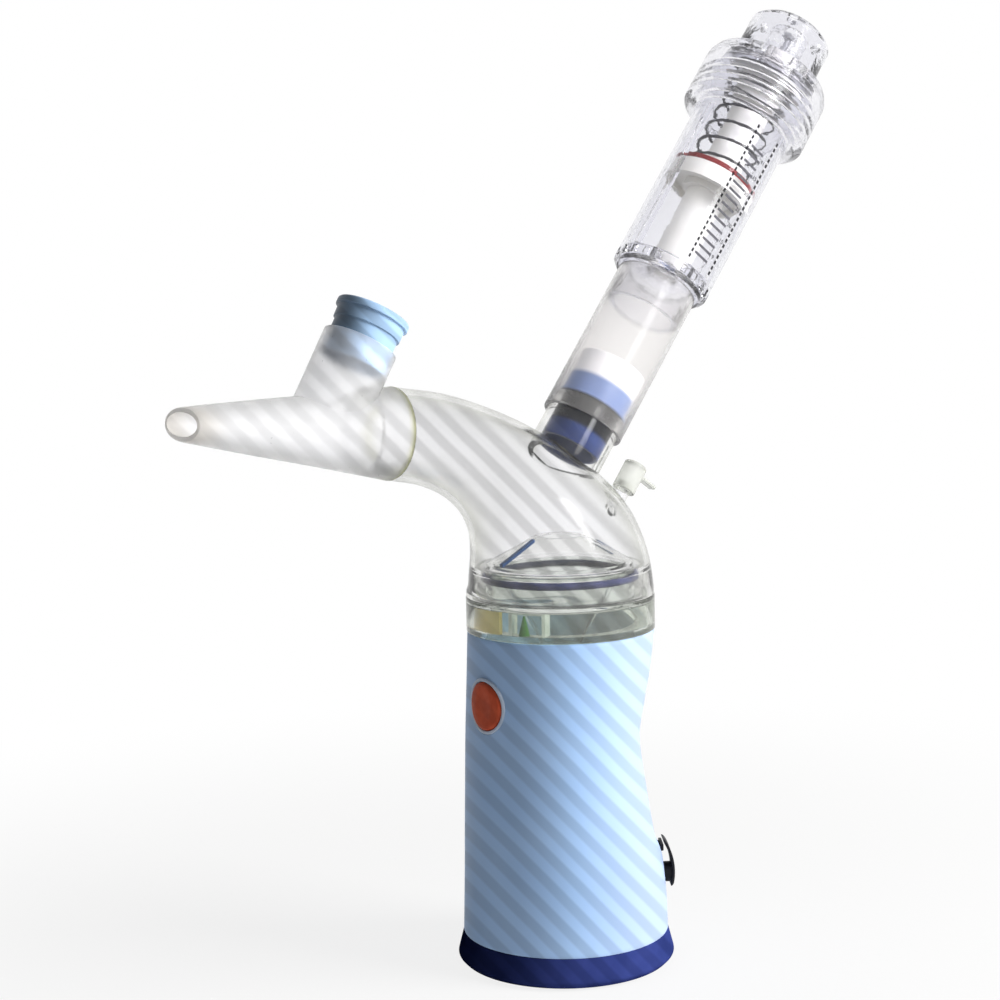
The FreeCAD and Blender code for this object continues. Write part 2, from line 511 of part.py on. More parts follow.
def chamber():
    low = "tank_bottom"
    floor = "tank_bottom + tank_floor"
    rest = "sleeve_top + 0.1"
    body = turned("chamber_body", [
        ("9.3", low), ("tank_radius", low), ("tank_radius", rest), ("collar_radius", rest),
        ("collar_radius", "collar_top"), ("collar_radius - 2", "collar_top"),
        ("collar_radius - 2", rest + " + 2"), ("tank_radius - tank_wall", rest + " + 2"),
        ("tank_radius - tank_wall", floor), ("9.3", floor)])
    groove_low = "ring_height - ring_wire - running_gap"
    groove_high = "ring_height + ring_wire + running_gap"
    groove = "ring_middle - ring_wire - running_gap"
    lid = turned("chamber_lid", [
        ("neck_inner", "collar_top"), ("collar_radius", "collar_top"),
        ("collar_radius", "collar_top + lid_thick"), ("neck_outer", "collar_top + lid_thick"),
        ("neck_outer", groove_low), (groove, groove_low), (groove, groove_high),
        ("neck_outer", groove_high), ("neck_outer", "neck_top"), ("neck_inner", "neck_top")])
    ring = label(doc.addObject("Part::Torus", "seal_ring"), "seal_ring")
    bind(ring, Radius1="ring_middle", Radius2="ring_wire")
    at(ring, "0", "0", "ring_height")
    bed = "deck_bottom + deck_thick"
    disc_low = bed + " + 0.5"
    disc_high = disc_low + " + disc_thick + running_gap"
    seal = turned("transducer_seal", [
        ("disc_radius - 1.3", bed), ("disc_radius + 2.4", bed), ("disc_radius + 2.4", low),
        ("disc_radius - 1.3", low), ("disc_radius - 1.3", disc_high),
        ("disc_radius + running_gap", disc_high), ("disc_radius + running_gap", disc_low + " - running_gap"),
        ("disc_radius - 1.3", disc_low + " - running_gap")])
    disc = turned("transducer", [
        ("0", bed + " - 0.2"), ("2", bed + " - 0.2"), ("2", disc_low), ("disc_radius", disc_low),
        ("disc_radius", disc_low + " + disc_thick"), ("0", disc_low + " + disc_thick")])
    cup_low = "neck_top + running_gap"
    cup_high = "neck_top + running_gap + cup_wall"
    cup = turned("medicine_cup", [
        ("0", "cup_bottom"), ("cup_foot", "cup_bottom"), ("cup_top", cup_low), ("cup_rim", cup_low),
        ("cup_rim", cup_high), ("cup_top - cup_wall", cup_high),
        ("cup_foot - cup_wall", "cup_bottom + cup_wall"), ("0", "cup_bottom + cup_wall")])
    guard_low = cup_high + " + running_gap"
    guard = turned("splash_guard", [
        ("cup_rim - 2.3", guard_low), ("cup_rim", guard_low), ("cup_rim", "guard_edge"),
        ("guard_mouth", "guard_peak"), ("guard_mouth - 1.1", "guard_peak"),
        ("guard_mouth - 1.1", "guard_peak - 0.8"), ("cup_rim - 2.3", "guard_edge - 0.15")])
    slope = "( ( guard_peak - guard_edge ) / ( cup_rim - guard_mouth ) )"
    near = "guard_edge + 0.7 * " + slope + " + 0.02"
    far = "guard_edge + ( cup_rim - 11.5 ) * " + slope + " + 0.02"
    band = turned("rib_band", [("cup_rim - 0.7", near), ("cup_rim - 0.7", near + " + 1.1"),
                               ("11.5", far + " + 1.1"), ("11.5", far)])
    front = slab("rib_front", ("1.8", "15", "14"), ("0", "-18.6", "guard_edge - 1"))
    rear = slab("rib_rear", ("1.8", "9", "14"), ("0", "21.5", "guard_edge - 1"))
    ribs = shared("guard_ribs", band, group("rib_slabs", front, rear))
    ledge = rest + " + 2 + running_gap"
    tall = "collar_top - ( " + ledge + " ) - running_gap"
    screen_outer = rod("screen_outer", "collar_radius - 2.05", tall, ("0", "0", ledge))
    bind(screen_outer, Angle="45")
    screen_inner = rod("screen_inner", "collar_radius - 3.4", tall + " + 2", ("0", "0", ledge + " - 1"))
    screen = turn(cut("amber_screen", screen_outer, screen_inner), (0, 0, 1), "236")
    case = slab("gauge_box", ("4.4", "13.2", tall), ("28", "0", ledge))
    gap = slab("gauge_gap", ("8", "10.8", tall), ("28", "0", ledge + " - 1"))
    post = turn(cut("gauge_frame", case, gap), (0, 0, 1), "300")
    drop = label(doc.addObject("Part::Cone", "level_drop"), "level_drop")
    bind(drop, Radius1="1.9", Radius2="0.3", Height="6.6")
    at(drop, "28.9 * cos(297 * 1 deg)", "28.9 * sin(297 * 1 deg)", ledge)
    lamp = rod("gauge_led", "1.5", "1.7", ("20 * cos(300 * 1 deg)", "20 * sin(300 * 1 deg)", bed))
    return [body, lid, ring, seal, disc, cup, guard, ribs, screen, post, drop, lamp]


def elbow_stations():
    stations = [("dome_foot", "dome_foot", "0", "0", "dome_bottom + 1.5", "0")]
    for index in range(1, len(ELBOW) + 1):
        size = f"elbow_size_{index}"
        stations.append((size, size, "0", f"elbow_along_{index}",
                         f"dome_bottom + elbow_up_{index}", f"elbow_tilt_{index}"))
    stations.append(("outlet_radius", "outlet_radius", "0", "outlet_y", "outlet_z", "90 - outlet_rise"))
    return stations


def head():
    skin = lofted("dome_outer", elbow_stations())
    foot = rod("dome_base", "dome_foot", "1.5", ("0", "0", "dome_bottom"))
    spigot = on_outlet(group("dome_spigot", rod("spigot_rod", "spigot_radius", "spigot_length + 3",
                                                ("0", "0", "-3"))))
    port = on_trainer(group("dome_port", rod("port_rod", "port_radius", "port_rim + port_deep",
                                             ("0", "0", "-1 * port_deep"))))
    small = on_small_port(group("dome_small", rod("small_rod", "small_radius", "14", ("0", "0", "-9"))))
    upper = shared("dome_cavity", lofted("dome_inner", elbow_stations(), "dome_wall"),
                   slab("cavity_box", ("120", "160", "120"), ("0", "-30", "foot_height")))
    bore = "ring_middle + ring_wire + running_gap"
    foot_bore = rod("dome_foot_bore", bore, "foot_height - dome_bottom + 1.5", ("0", "0", "dome_bottom - 1"))
    groove = cut("dome_groove",
                 rod("groove_outer", "dome_foot - 2", "groove_rise + 1", ("0", "0", "dome_bottom - 1")),
                 rod("groove_inner", bore + " + 1.6", "groove_rise + 4", ("0", "0", "dome_bottom - 2")))
    outlet = on_outlet(group("outlet_bore", rod("outlet_rod", "spigot_bore", "spigot_length + 8",
                                                ("0", "0", "-6"))))
    port_bore = on_trainer(group("dome_port_bore", rod("port_bore_rod", "port_bore",
                                                       "port_rim + port_deep + 1",
                                                       ("0", "0", "-1 * port_deep"))))
    small_bore = on_small_port(group("dome_small_bore", rod("small_bore_rod", "small_bore", "16",
                                                            ("0", "0", "-9.5"))))
    dome = cut("dome", join("dome_solid", skin, foot, spigot, port, small),
               upper, foot_bore, groove, outlet, port_bore, small_bore)
    stopper = cut("stopper", join("stopper_blank", rod("stopper_head", "4.3", "7.4", ("0", "0", "2.4")),
                                  slab("stopper_tab", ("3.6", "9", "1.4"), ("0", "7", "8.4"))),
                  rod("stopper_bore", "small_radius + running_gap", "2.8", ("0", "0", "2.3")))
    return [dome, on_small_port(label_as(stopper, "small_port_cap"))]


def label_as(item, name):
    item.Label = name
    return item


def mouth():
    stations = [("mouth_root", "mouth_root - 0.001", "0", "0", "0", "0")]
    for index in range(1, len(MOUTH) + 1):
        stations.append((f"mouth_wide_{index}", f"mouth_high_{index}", "0", "0",
                         f"mouth_length * mouth_share_{index}", "0"))
    stations.append(("tip_half_wide", "tip_half_high", "0", "0", "mouth_length", "0"))
    skin = lofted("mouth_outer", stations)
    hollow = shared("mouth_hollow", lofted("mouth_inner", stations, "mouth_wall"),
                    slab("mouth_box", ("60", "60", "mouth_length"), ("0", "0", "spigot_length + 0.2")))
    socket = rod("mouth_socket", "spigot_radius + running_gap", "spigot_length + 1.3", ("0", "0", "-1"))
    port = rod("side_rod", "side_radius", "side_rim", ("0", "0", "side_at"), (-1, 0, 0), "90 + side_lean")
    bore = rod("side_bore_rod", "side_bore", "side_rim",
               ("0", "2 * cos(side_lean * 1 deg)", "side_at - 2 * sin(side_lean * 1 deg)"),
               (-1, 0, 0), "90 + side_lean")
    return [on_outlet(cut("mouthpiece", join("mouth_solid", skin, port), hollow, socket, bore))]


def side_valve():
    flange = "side_rim + side_shown"
    web = flange + " - 2"
    inner = "side_fit - valve_wall"
    blank = turned("side_valve_blank", [
        ("0", web), (inner, web), (inner, "side_rim - 8"), ("side_fit", "side_rim - 8"),
        ("side_fit", flange), ("side_flange_radius", flange), ("side_flange_radius", flange + " + side_flange"),
        (inner + " + 0.6", flange + " + side_flange"), (inner + " + 0.6", web + " + web_thick"),
        ("stud_radius", web + " + web_thick"), ("stud_radius", web + " + web_thick + 2"),
        ("stud_radius + 1", web + " + web_thick + 2"), ("stud_radius + 1", web + " + web_thick + 2.7"),
        ("0", web + " + web_thick + 2.7")])
    body = cut("side_valve_body", blank, *round_holes("side_air", 6, "5.4", "1.7", web + " - 1", "4"))
    low = web + " + web_thick + 0.03"
    disc = turned("side_valve_disc", [("stud_radius + 0.1", low), ("8.7", low), ("8.7", low + " + disc_rubber"),
                                      ("stud_radius + 0.1", low + " + disc_rubber")])
    return [on_side_port(body), on_side_port(disc)]


def inlet_valve():
    inner = "inlet_fit - valve_wall"
    web = "port_rim + running_gap"
    blank = turned("inlet_valve_blank", [
        (inner, "inlet_bottom"), ("inlet_fit", "inlet_bottom"), ("inlet_fit", web),
        ("port_radius - 0.4", web), ("port_radius - 0.4", web + " + web_thick"),
        ("inlet_upper", web + " + web_thick"), ("inlet_upper", "inlet_top"),
        ("inlet_upper - valve_wall", "inlet_top"), ("inlet_upper - valve_wall", web + " + web_thick"),
        ("0", web + " + web_thick"), ("0", web + " - 3.2"), ("stud_radius + 1", web + " - 3.2"),
        ("stud_radius + 1", web + " - 2.5"), ("stud_radius", web + " - 2.5"), ("stud_radius", web),
        (inner, web)])
    body = cut("inlet_valve_body", blank, *round_holes("inlet_air", 6, "5.4", "1.7", web + " - 1", "4"))
    high = web + " - 0.03"
    disc = turned("inlet_valve_disc", [
        ("stud_radius + 0.1", high + " - disc_rubber"), ("8.7", high + " - disc_rubber"),
        ("8.7", high), ("stud_radius + 0.1", high)])
    return [on_trainer(body), on_trainer(disc)]


def trainer():
    tube = turned("mouth_tube", [("tube_bore", "0"), ("tube_radius", "0"), ("tube_radius", "tube_top"),
                                 ("tube_bore", "tube_top")])
    blank = turned("case_blank", [
        ("case_air", "case_bottom - 13"), ("case_spigot", "case_bottom - 13"), ("case_spigot", "case_bottom"),
        ("case_radius - 2", "case_bottom"), ("case_radius", "case_bottom + 2"), ("case_radius", "case_top"),
        ("case_bore", "case_top"), ("case_bore", "case_bottom + case_floor"),
        ("case_air", "case_bottom + case_floor")])
    keys = [slab(f"key_{index}", ("2 * key_half", "key_high + 0.4", "62"),
                 ("0", f"{side} * ( case_bore - key_high / 2 + 0.2 )", "bearing_top + 0.5"))
            for index, side in enumerate(("1", "-1"))]
    flats = [slab(f"flat_{index}", ("4", "40", "cap_bottom - bearing_top"),
                  (f"{side} * ( case_flat + 2 )", "0", "bearing_top"))
             for index, side in enumerate(("1", "-1"))]
    case = cut("trainer_housing", join("case_keyed", blank, *keys), *flats)
    low = "case_bottom + case_floor + running_gap"
    deep = "bearing_top - ( " + low + " )"
    rim = cut("bearing_rim", rod("rim_outer", "case_bore - 0.05", deep, ("0", "0", low)),
              rod("rim_inner", "case_bore - 1.6", deep + " + 2", ("0", "0", low + " - 1")))
    hub = rod("bearing_hub", "pivot_radius + 3", deep, ("0", "0", low))
    spokes = [turn(slab(f"spoke_{index}", ("2 * case_bore - 1.5", "1.8", deep), ("0", "0", low), False),
                   (0, 0, 1), str(60 * index)) for index in range(3)]
    for index, spoke in enumerate(spokes):
        at(spoke, f"-1 * ( case_bore - 0.75 ) * cos({60 * index} * 1 deg) + 0.9 * sin({60 * index} * 1 deg)",
           f"-1 * ( case_bore - 0.75 ) * sin({60 * index} * 1 deg) - 0.9 * cos({60 * index} * 1 deg)", low)
    bearing = cut("foot_bearing", join("bearing_blank", rim, hub, *spokes),
                  rod("bearing_bore", "pivot_radius + running_gap", deep + " + 2", ("0", "0", low + " - 1")))
    core = turned("spindle", [
        ("0", low), ("pivot_radius", low), ("pivot_radius", "bearing_top + 0.1"), ("core_radius", "bearing_top + 0.1"),
        ("core_radius", "core_top"), ("core_neck", "core_top"), ("core_neck", "core_end"), ("1.3", "core_end"),
        ("1.3", "core_end - 8"), ("0", "core_end - 8")])
    slide = "core_radius + 2 * running_gap"
    web = "carrier_foot + 0.6"
    nut = turned("carrier_blank", [
        (slide, "carrier_foot - 2"), ("8.8", "carrier_foot - 2"), ("8.8", web), ("carrier_hollow", web),
        ("carrier_hollow", "carrier_foot - 1.5"), ("carrier_radius", "carrier_foot - 1.5"),
        ("carrier_radius", "carrier_top"), ("carrier_hollow", "carrier_top"),
        ("carrier_hollow", web + " + 1.5"), ("8.8", web + " + 1.5"), ("8.8", "carrier_top"),
        (slide, "carrier_top")])
    carrier = cut("carrier", nut, *key_slots("carrier"))
    band = turned("red_band", [
        ("carrier_hollow", "carrier_top + 0.02"), ("carrier_radius", "carrier_top + 0.02"),
        ("carrier_radius", "carrier_top + red_thick"), ("carrier_hollow", "carrier_top + red_thick")])
    red = cut("indicator_ring", band, *key_slots("red"))
    seat = "( " + web + " + 1.5 + running_gap )"
    spring = coiled("trainer_spring", "coil_radius", "coil_wire", "coil_turns", seat,
                    "poppet_bottom - running_gap")
    lift = slide + " + 0.02"
    poppet = turned("poppet", [
        (lift, "poppet_bottom - 7.5"), ("8.6", "poppet_bottom - 7.5"), ("8.6", "poppet_bottom"),
        ("poppet_radius", "poppet_bottom"), ("poppet_radius", "poppet_bottom + poppet_thick"),
        (lift, "poppet_bottom + poppet_thick")])
    pad = "poppet_bottom + poppet_thick + 0.02"
    seal = turned("poppet_seal", [
        ("seat_hole - 0.9", pad), ("poppet_radius - 0.4", pad), ("poppet_radius - 0.4", pad + " + seal_thick"),
        ("seat_hole - 0.9", pad + " + seal_thick")])
    rest = "case_top + running_gap"
    seat_ring = turned("valve_seat", [
        ("seat_hole", rest), ("case_radius + 0.1", rest), ("case_radius + 0.1", rest + " + seat_thick"),
        ("seat_hole", rest + " + seat_thick")])
    wide = "case_radius + 0.15"
    ledge = rest + " + seat_thick + running_gap"
    dome = turned("collar_blank", [
        (wide, "cap_bottom"), ("cap_radius", "cap_bottom"), ("cap_radius", "cap_top - cap_shoulder"),
        ("cap_radius - 1.5", "cap_top - 1.6"), ("cap_radius - cap_shoulder", "cap_top"),
        ("core_neck + 0.08", "cap_top"), ("core_neck + 0.08", "web_bottom + 0.2"), ("14", "web_bottom + 0.2"),
        ("14", ledge), (wide, ledge)])
    collar = cut("collar", dome, *round_holes("collar_air", 6, "9.9", "2.2", "web_bottom - 1", "5"))
    skirt = "cap_top + 0.3"
    top = "knob_top"
    grip = turned("knob_blank", [
        ("knob_radius - knob_wall", skirt), ("knob_radius", skirt), ("knob_radius", top + " - 2"),
        ("knob_radius - 2", top), ("2.7", top), ("2.7", "core_end + 9"), ("1.35", "core_end + 9"),
        ("1.35", "core_end + 0.1"), ("core_neck + 0.03", "core_end + 0.1"), ("core_neck + 0.03", skirt),
        ("core_neck + 2.4", skirt), ("core_neck + 2.4", top + " - 2"), ("knob_radius - knob_wall", top + " - 2")])
    knob = cut("knob", grip, *round_holes("knob_air", 4, "11.2", "2.2", top + " - 4", "6", 45))
    screw = turned("knob_screw", [
        ("0", "core_end - 7.5"), ("1.25", "core_end - 7.5"), ("1.25", "core_end + 9.05"), ("2.5", "core_end + 9.05"),
        ("2.5", "core_end + 11"), ("0", "core_end + 11")])
    made = [tube, case, bearing, core, carrier, red, poppet, seal, seat_ring, collar, knob, screw]
    return [on_trainer(item) for item in made] + [on_trainer(spring, seat)]


def key_slots(name):
    return [slab(f"{name}_slot_{index}", ("2 * key_half + 0.5", "3", "12"),
                 ("0", f"{side} * ( case_bore - key_high - 0.15 + 1.5 )", "carrier_foot - 4"))
            for index, side in enumerate(("1", "-1"))]


pieces = (base() + frame() + cells() + electronics() + button_set() + socket_set() + sleeve()
          + chamber() + head() + mouth() + side_valve() + inlet_valve() + trainer())
doc.recompute()
for item in doc.Objects:
    if "Invalid" in item.State or "Error" in item.State:
        raise RuntimeError(item.Name + " did not build")
for piece in pieces:
    if piece.Shape.isNull() or not piece.Shape.isValid():
        raise RuntimeError(piece.Label + " has no valid shape")
    piece.Shape.exportStep(f"parts/{piece.Label}.step")
sheet.clear(SPARE)
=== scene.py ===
import math

import bmesh
import bpy
from mathutils import Matrix, Vector


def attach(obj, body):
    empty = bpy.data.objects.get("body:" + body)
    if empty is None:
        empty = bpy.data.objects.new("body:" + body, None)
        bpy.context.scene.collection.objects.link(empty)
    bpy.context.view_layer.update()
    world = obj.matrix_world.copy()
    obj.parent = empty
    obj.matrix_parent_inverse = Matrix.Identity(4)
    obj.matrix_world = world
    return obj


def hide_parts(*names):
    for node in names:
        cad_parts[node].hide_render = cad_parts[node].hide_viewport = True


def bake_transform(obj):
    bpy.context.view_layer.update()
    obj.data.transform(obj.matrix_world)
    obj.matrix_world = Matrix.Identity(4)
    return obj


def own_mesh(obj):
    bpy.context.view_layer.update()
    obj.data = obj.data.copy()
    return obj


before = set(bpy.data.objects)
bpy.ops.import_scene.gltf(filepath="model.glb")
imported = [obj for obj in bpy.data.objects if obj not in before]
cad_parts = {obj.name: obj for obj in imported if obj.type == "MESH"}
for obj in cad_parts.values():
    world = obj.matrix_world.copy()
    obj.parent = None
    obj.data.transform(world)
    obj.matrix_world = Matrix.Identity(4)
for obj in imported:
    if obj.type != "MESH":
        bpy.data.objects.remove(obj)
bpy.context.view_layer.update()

# Lengths below are millimetres; a piece's mesh is brought to metres when it is fitted.
METRES = Matrix.Scale(0.001, 4)
ROUND = 2 * math.pi


# Places

def standing(x, y, z, tilt=0.0):
    """A frame at a point, whose Z axis leans from upright round X by a tilt in degrees."""
    return Matrix.Translation((x, y, z)) @ Matrix.Rotation(math.radians(tilt), 4, "X")


OUTLET_RISE = math.radians(6)
OUTLET_Y, OUTLET_Z = -69.8, 193.1
SIDE_AT = 26.7
UPRIGHT = standing(0, 0, 0)
OUTLET = standing(0, OUTLET_Y, OUTLET_Z, 84)
SIDE_PORT = standing(0, OUTLET_Y - SIDE_AT * math.cos(OUTLET_RISE),
                     OUTLET_Z + SIDE_AT * math.sin(OUTLET_RISE), -30)
TRAINER = standing(0, 11, 191, -36.5)
SMALL_PORT = standing(0, 28, 164, -36.5)
SOCKET = Matrix.Rotation(math.radians(55), 4, "Z")
SOCKET_HEIGHT, ANCHOR_HEIGHT = 30, 40
BUTTON_HEIGHT = 96.2
BUTTON = standing(0, 0, BUTTON_HEIGHT, 90)


def outward(height, place=UPRIGHT):
    """A frame at a height of another, whose Z axis points along that one's X."""
    return place @ Matrix.Translation((0, 0, height)) @ Matrix.Rotation(math.radians(90), 4, "Y")


# Shapes

def skin(name, corners, faces):
    """A closed mesh with its faces turned outward."""
    mesh = bpy.data.meshes.new(name)
    mesh.from_pydata(corners, [], faces)
    made = bpy.data.objects.new(name, mesh)
    bpy.context.scene.collection.objects.link(made)
    work = bmesh.new()
    work.from_mesh(mesh)
    bmesh.ops.remove_doubles(work, verts=work.verts, dist=0.0005)
    bmesh.ops.recalc_face_normals(work, faces=work.faces)
    work.to_mesh(mesh)
    work.free()
    return made


def wrapped(name, rings, loop=False):
    """A skin over rings of points; a ring of one point closes an end."""
    corners, starts, faces = [], [], []
    for ring in rings:
        starts.append(len(corners))
        corners += ring
    pairs = list(zip(range(len(rings)), range(1, len(rings))))
    if loop:
        pairs.append((len(rings) - 1, 0))
    for low, high in pairs:
        below, above = len(rings[low]), len(rings[high])
        for step in range(max(below, above)):
            quad = [starts[low] + step % below, starts[low] + (step + 1) % below,
                    starts[high] + (step + 1) % above, starts[high] + step % above]
            face = list(dict.fromkeys(quad))
            if len(face) > 2:
                faces.append(face)
    return skin(name, corners, faces)


def capped(rings):
    """Rings with the middle point of the first and the last added as ends."""
    first, last = ([tuple(sum(point[axis] for point in ring) / len(ring) for axis in range(3))]
                   for ring in (rings[0], rings[-1]))
    return [first] + rings + [last]


def eased(outline, radius=0.3, parts=3):
    """An outline of (radius, height) with rounded corners; a third number is a corner's own rounding."""
    made = []
    for index, corner in enumerate(outline):
        here = Vector(corner[:2])
        ease = corner[2] if len(corner) > 2 else radius
        before = Vector(outline[index - 1][:2]) - here
        after = Vector(outline[(index + 1) % len(outline)][:2]) - here
        if here.x < 1e-6 or ease <= 0 or before.angle(after) > 3.1:
            made.append(tuple(here))
            continue
        reach = min(ease / math.tan(before.angle(after) / 2), 0.45 * before.length, 0.45 * after.length)
        start, end = here + before.normalized() * reach, here + after.normalized() * reach
        for part in range(parts + 1):
            share = part / parts
            made.append(tuple((1 - share) ** 2 * start + 2 * share * (1 - share) * here + share ** 2 * end))
    return made


def oval(wide, high, along, steps=112):
    """Points on an ellipse at a height of the Z axis."""
    return [(wide * math.cos(ROUND * step / steps), high * math.sin(ROUND * step / steps), along)
            for step in range(steps)]


def turned(name, outline, place=UPRIGHT, steps=96, bend=None):
    """A body of revolution round the Z axis of a frame."""
    rings = []
    for radius, height in outline:
        if radius < 1e-6:
            rings.append([bend(0, 0, height) if bend else (0, 0, height)])
            continue
        ring = oval(radius, radius, height, steps)
        rings.append([bend(*point) for point in ring] if bend else ring)
    made = wrapped(name, rings, loop=True)
    made.data.transform(place)
    return made


def block(name, size, middle, ease=0.3, place=UPRIGHT):
    """A box with rounded edges."""
    made = skin(name, [((x - 0.5) * size[0] + middle[0], (y - 0.5) * size[1] + middle[1],
                        (z - 0.5) * size[2] + middle[2]) for x in (0, 1) for y in (0, 1) for z in (0, 1)],
                [(0, 1, 3, 2), (4, 6, 7, 5), (0, 4, 5, 1), (2, 3, 7, 6), (0, 2, 6, 4), (1, 5, 7, 3)])
    if ease:
        work = bmesh.new()
        work.from_mesh(made.data)
        bmesh.ops.bevel(work, geom=work.edges[:], offset=ease, segments=3, profile=0.5, affect="EDGES")
        work.to_mesh(made.data)
        work.free()
    made.data.transform(place)
    return made


def flowing(stations, steps):
    """Stations joined by a smooth curve, with a number of steps between neighbours."""
    rows = [Vector(row) for row in stations]
    gaps = [max((after - before).length, 1e-6) for before, after in zip(rows, rows[1:])]
    slopes = [(after - before) / gap for before, after, gap in zip(rows, rows[1:], gaps)]
    tangents = [slopes[0]]
    for index in range(1, len(rows) - 1):
        before, after = gaps[index - 1], gaps[index]
        tangents.append((slopes[index - 1] * after + slopes[index] * before) / (before + after))
    tangents.append(slopes[-1])
    made = []
    for index, gap in enumerate(gaps):
        for step in range(steps):
            t = step / steps
            made.append(rows[index] * (2 * t ** 3 - 3 * t ** 2 + 1)
                        + tangents[index] * gap * (t ** 3 - 2 * t ** 2 + t)
                        + rows[index + 1] * (3 * t ** 2 - 2 * t ** 3)
                        + tangents[index + 1] * gap * (t ** 3 - t ** 2))
    return made + [rows[-1]]


def settled(made):
    """An object's shape with its modifiers worked in."""
    graph = bpy.context.evaluated_depsgraph_get()
    mesh = bpy.data.meshes.new_from_object(made.evaluated_get(graph), depsgraph=graph)
    made.modifiers.clear()
    made.data = mesh
    return made


def carved(made, operation, *tools):
    """A body joined to, cut by or kept within other bodies, which are used up."""
    for tool in tools:
        modifier = made.modifiers.new("shape", "BOOLEAN")
        modifier.operation = operation
        modifier.solver = "EXACT"
        modifier.object = tool
        settled(made)
        bpy.data.objects.remove(tool)
    return made


def rod(name, radius, low, high, place, steps=96, ease=0.0):
    """A round bar between two heights of a frame, eased at its upper end."""
    return turned(name, eased([(0, low), (radius, low, 0), (radius, high, ease), (0, high)], 0), place, steps)


def hole_ring(made, count, radius, away, low, high, place, start=0.0):
    """A body with holes evenly spaced round the Z axis of a frame."""
    for turn in range(count):
        angle = ROUND * (turn + start) / count
        middle = place @ Matrix.Translation((away * math.cos(angle), away * math.sin(angle), 0))
        carved(made, "DIFFERENCE", rod("hole", radius, low, high, middle, 24))


def merged(made, *others):
    """Several closed shapes kept as one object."""
    work = bmesh.new()
    work.from_mesh(made.data)
    for other in others:
        work.from_mesh(other.data)
        bpy.data.objects.remove(other)
    work.to_mesh(made.data)
    work.free()
    return made


def fitted(made, finish, body, nodes=(), crease=35):
    """Finish a piece: metres, smooth shading, its material, its body and the solids it stands for."""
    made.data.transform(METRES)
    made.data.shade_smooth()
    made.data.set_sharp_from_angle(angle=math.radians(crease))
    made.data.materials.clear()
    made.data.materials.append(finish)
    for face in made.data.polygons:
        face.material_index = 0
    if body:
        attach(made, body)
    if nodes:
        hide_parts(*nodes)
    return made


# Finishes

def put(tree, kind, feeds=None, **settings):
    """A shader node with its settings made and its inputs fed by values or other nodes' outputs."""
    made = tree.nodes.new("ShaderNode" + kind)
    for key, value in settings.items():
        setattr(made, key, value)
    for key, value in (feeds or {}).items():
        if isinstance(value, bpy.types.NodeSocket):
            tree.links.new(value, made.inputs[key])
        else:
            made.inputs[key].default_value = value
    return made


def shared_effect(name, inputs, outputs):
    """An empty shader group with named inputs and outputs."""
    group = bpy.data.node_groups.new(name, "ShaderNodeTree")
    for label, kind, value in inputs:
        socket = group.interface.new_socket(name=label, in_out="INPUT", socket_type="NodeSocket" + kind)
        socket.default_value = value
    for label in outputs:
        group.interface.new_socket(name=label, in_out="OUTPUT", socket_type="NodeSocketFloat")
    return group, group.nodes.new("NodeGroupInput"), group.nodes.new("NodeGroupOutput")


def grain_effect():
    """Moulded plastic: broad unevenness in tone and fine texture."""
    group, given, result = shared_effect("moulded_grain", [("Grains", "Float", 2500.0),
                                                           ("Patches", "Float", 60.0)],
                                         ["Tone", "Fine"])
    place = put(group, "TexCoord").outputs["Object"]
    broad = put(group, "TexNoise", {"Vector": place, "Scale": given.outputs["Patches"], "Detail": 3.0})
    fine = put(group, "TexNoise", {"Vector": place, "Scale": given.outputs["Grains"], "Detail": 5.0})
    tone = put(group, "MapRange", {"Value": broad.outputs["Fac"], "From Min": 0.3, "From Max": 0.7})
    group.links.new(tone.outputs["Result"], result.inputs["Tone"])
    group.links.new(fine.outputs["Fac"], result.inputs["Fine"])
    return group


def slat_effect():
    """Slanting light and dark bands, as light falls through a blind that fans out from a point."""
    group, given, result = shared_effect("slatted_light", [("Pitch", "Float", SLAT_PITCH),
                                                           ("Edge", "Float", 0.6), ("Shift", "Float", 0.0)],
                                                           ["Light"])
    place = put(group, "TexCoord").outputs["Object"]
    offset = put(group, "VectorMath", {0: place, 1: tuple(EYE)}, operation="SUBTRACT")
    aside = put(group, "VectorMath", {0: offset.outputs[0], 1: SLAT_ACROSS}, operation="DOT_PRODUCT")
    depth = put(group, "VectorMath", {0: offset.outputs[0], 1: tuple(SIGHT_AHEAD)}, operation="DOT_PRODUCT")
    fanned = put(group, "Math", {0: aside.outputs["Value"], 1: depth.outputs["Value"]}, operation="DIVIDE")
    wander = put(group, "TexNoise", {"Vector": place, "Scale": 35.0, "Detail": 1.0})
    phase = put(group, "Math", {0: fanned.outputs[0], 1: given.outputs["Pitch"]}, operation="DIVIDE")
    waver = put(group, "MapRange", {"Value": wander.outputs["Fac"], "To Min": -0.05, "To Max": 0.05})
    shift = put(group, "Math", {0: waver.outputs["Result"], 1: given.outputs["Shift"]}, operation="ADD")
    moved = put(group, "Math", {0: phase.outputs[0], 1: shift.outputs[0]}, operation="ADD")
    turns = put(group, "Math", {0: moved.outputs[0], 1: ROUND}, operation="MULTIPLY")
    wave = put(group, "Math", {0: turns.outputs[0]}, operation="SINE")
    low = put(group, "Math", {0: given.outputs["Edge"], 1: -1.0}, operation="MULTIPLY")
    light = put(group, "MapRange", {"Value": wave.outputs[0], "From Min": low.outputs[0],
                                    "From Max": given.outputs["Edge"]}, interpolation_type="SMOOTHSTEP")
    group.links.new(light.outputs["Result"], result.inputs["Light"])
    return group


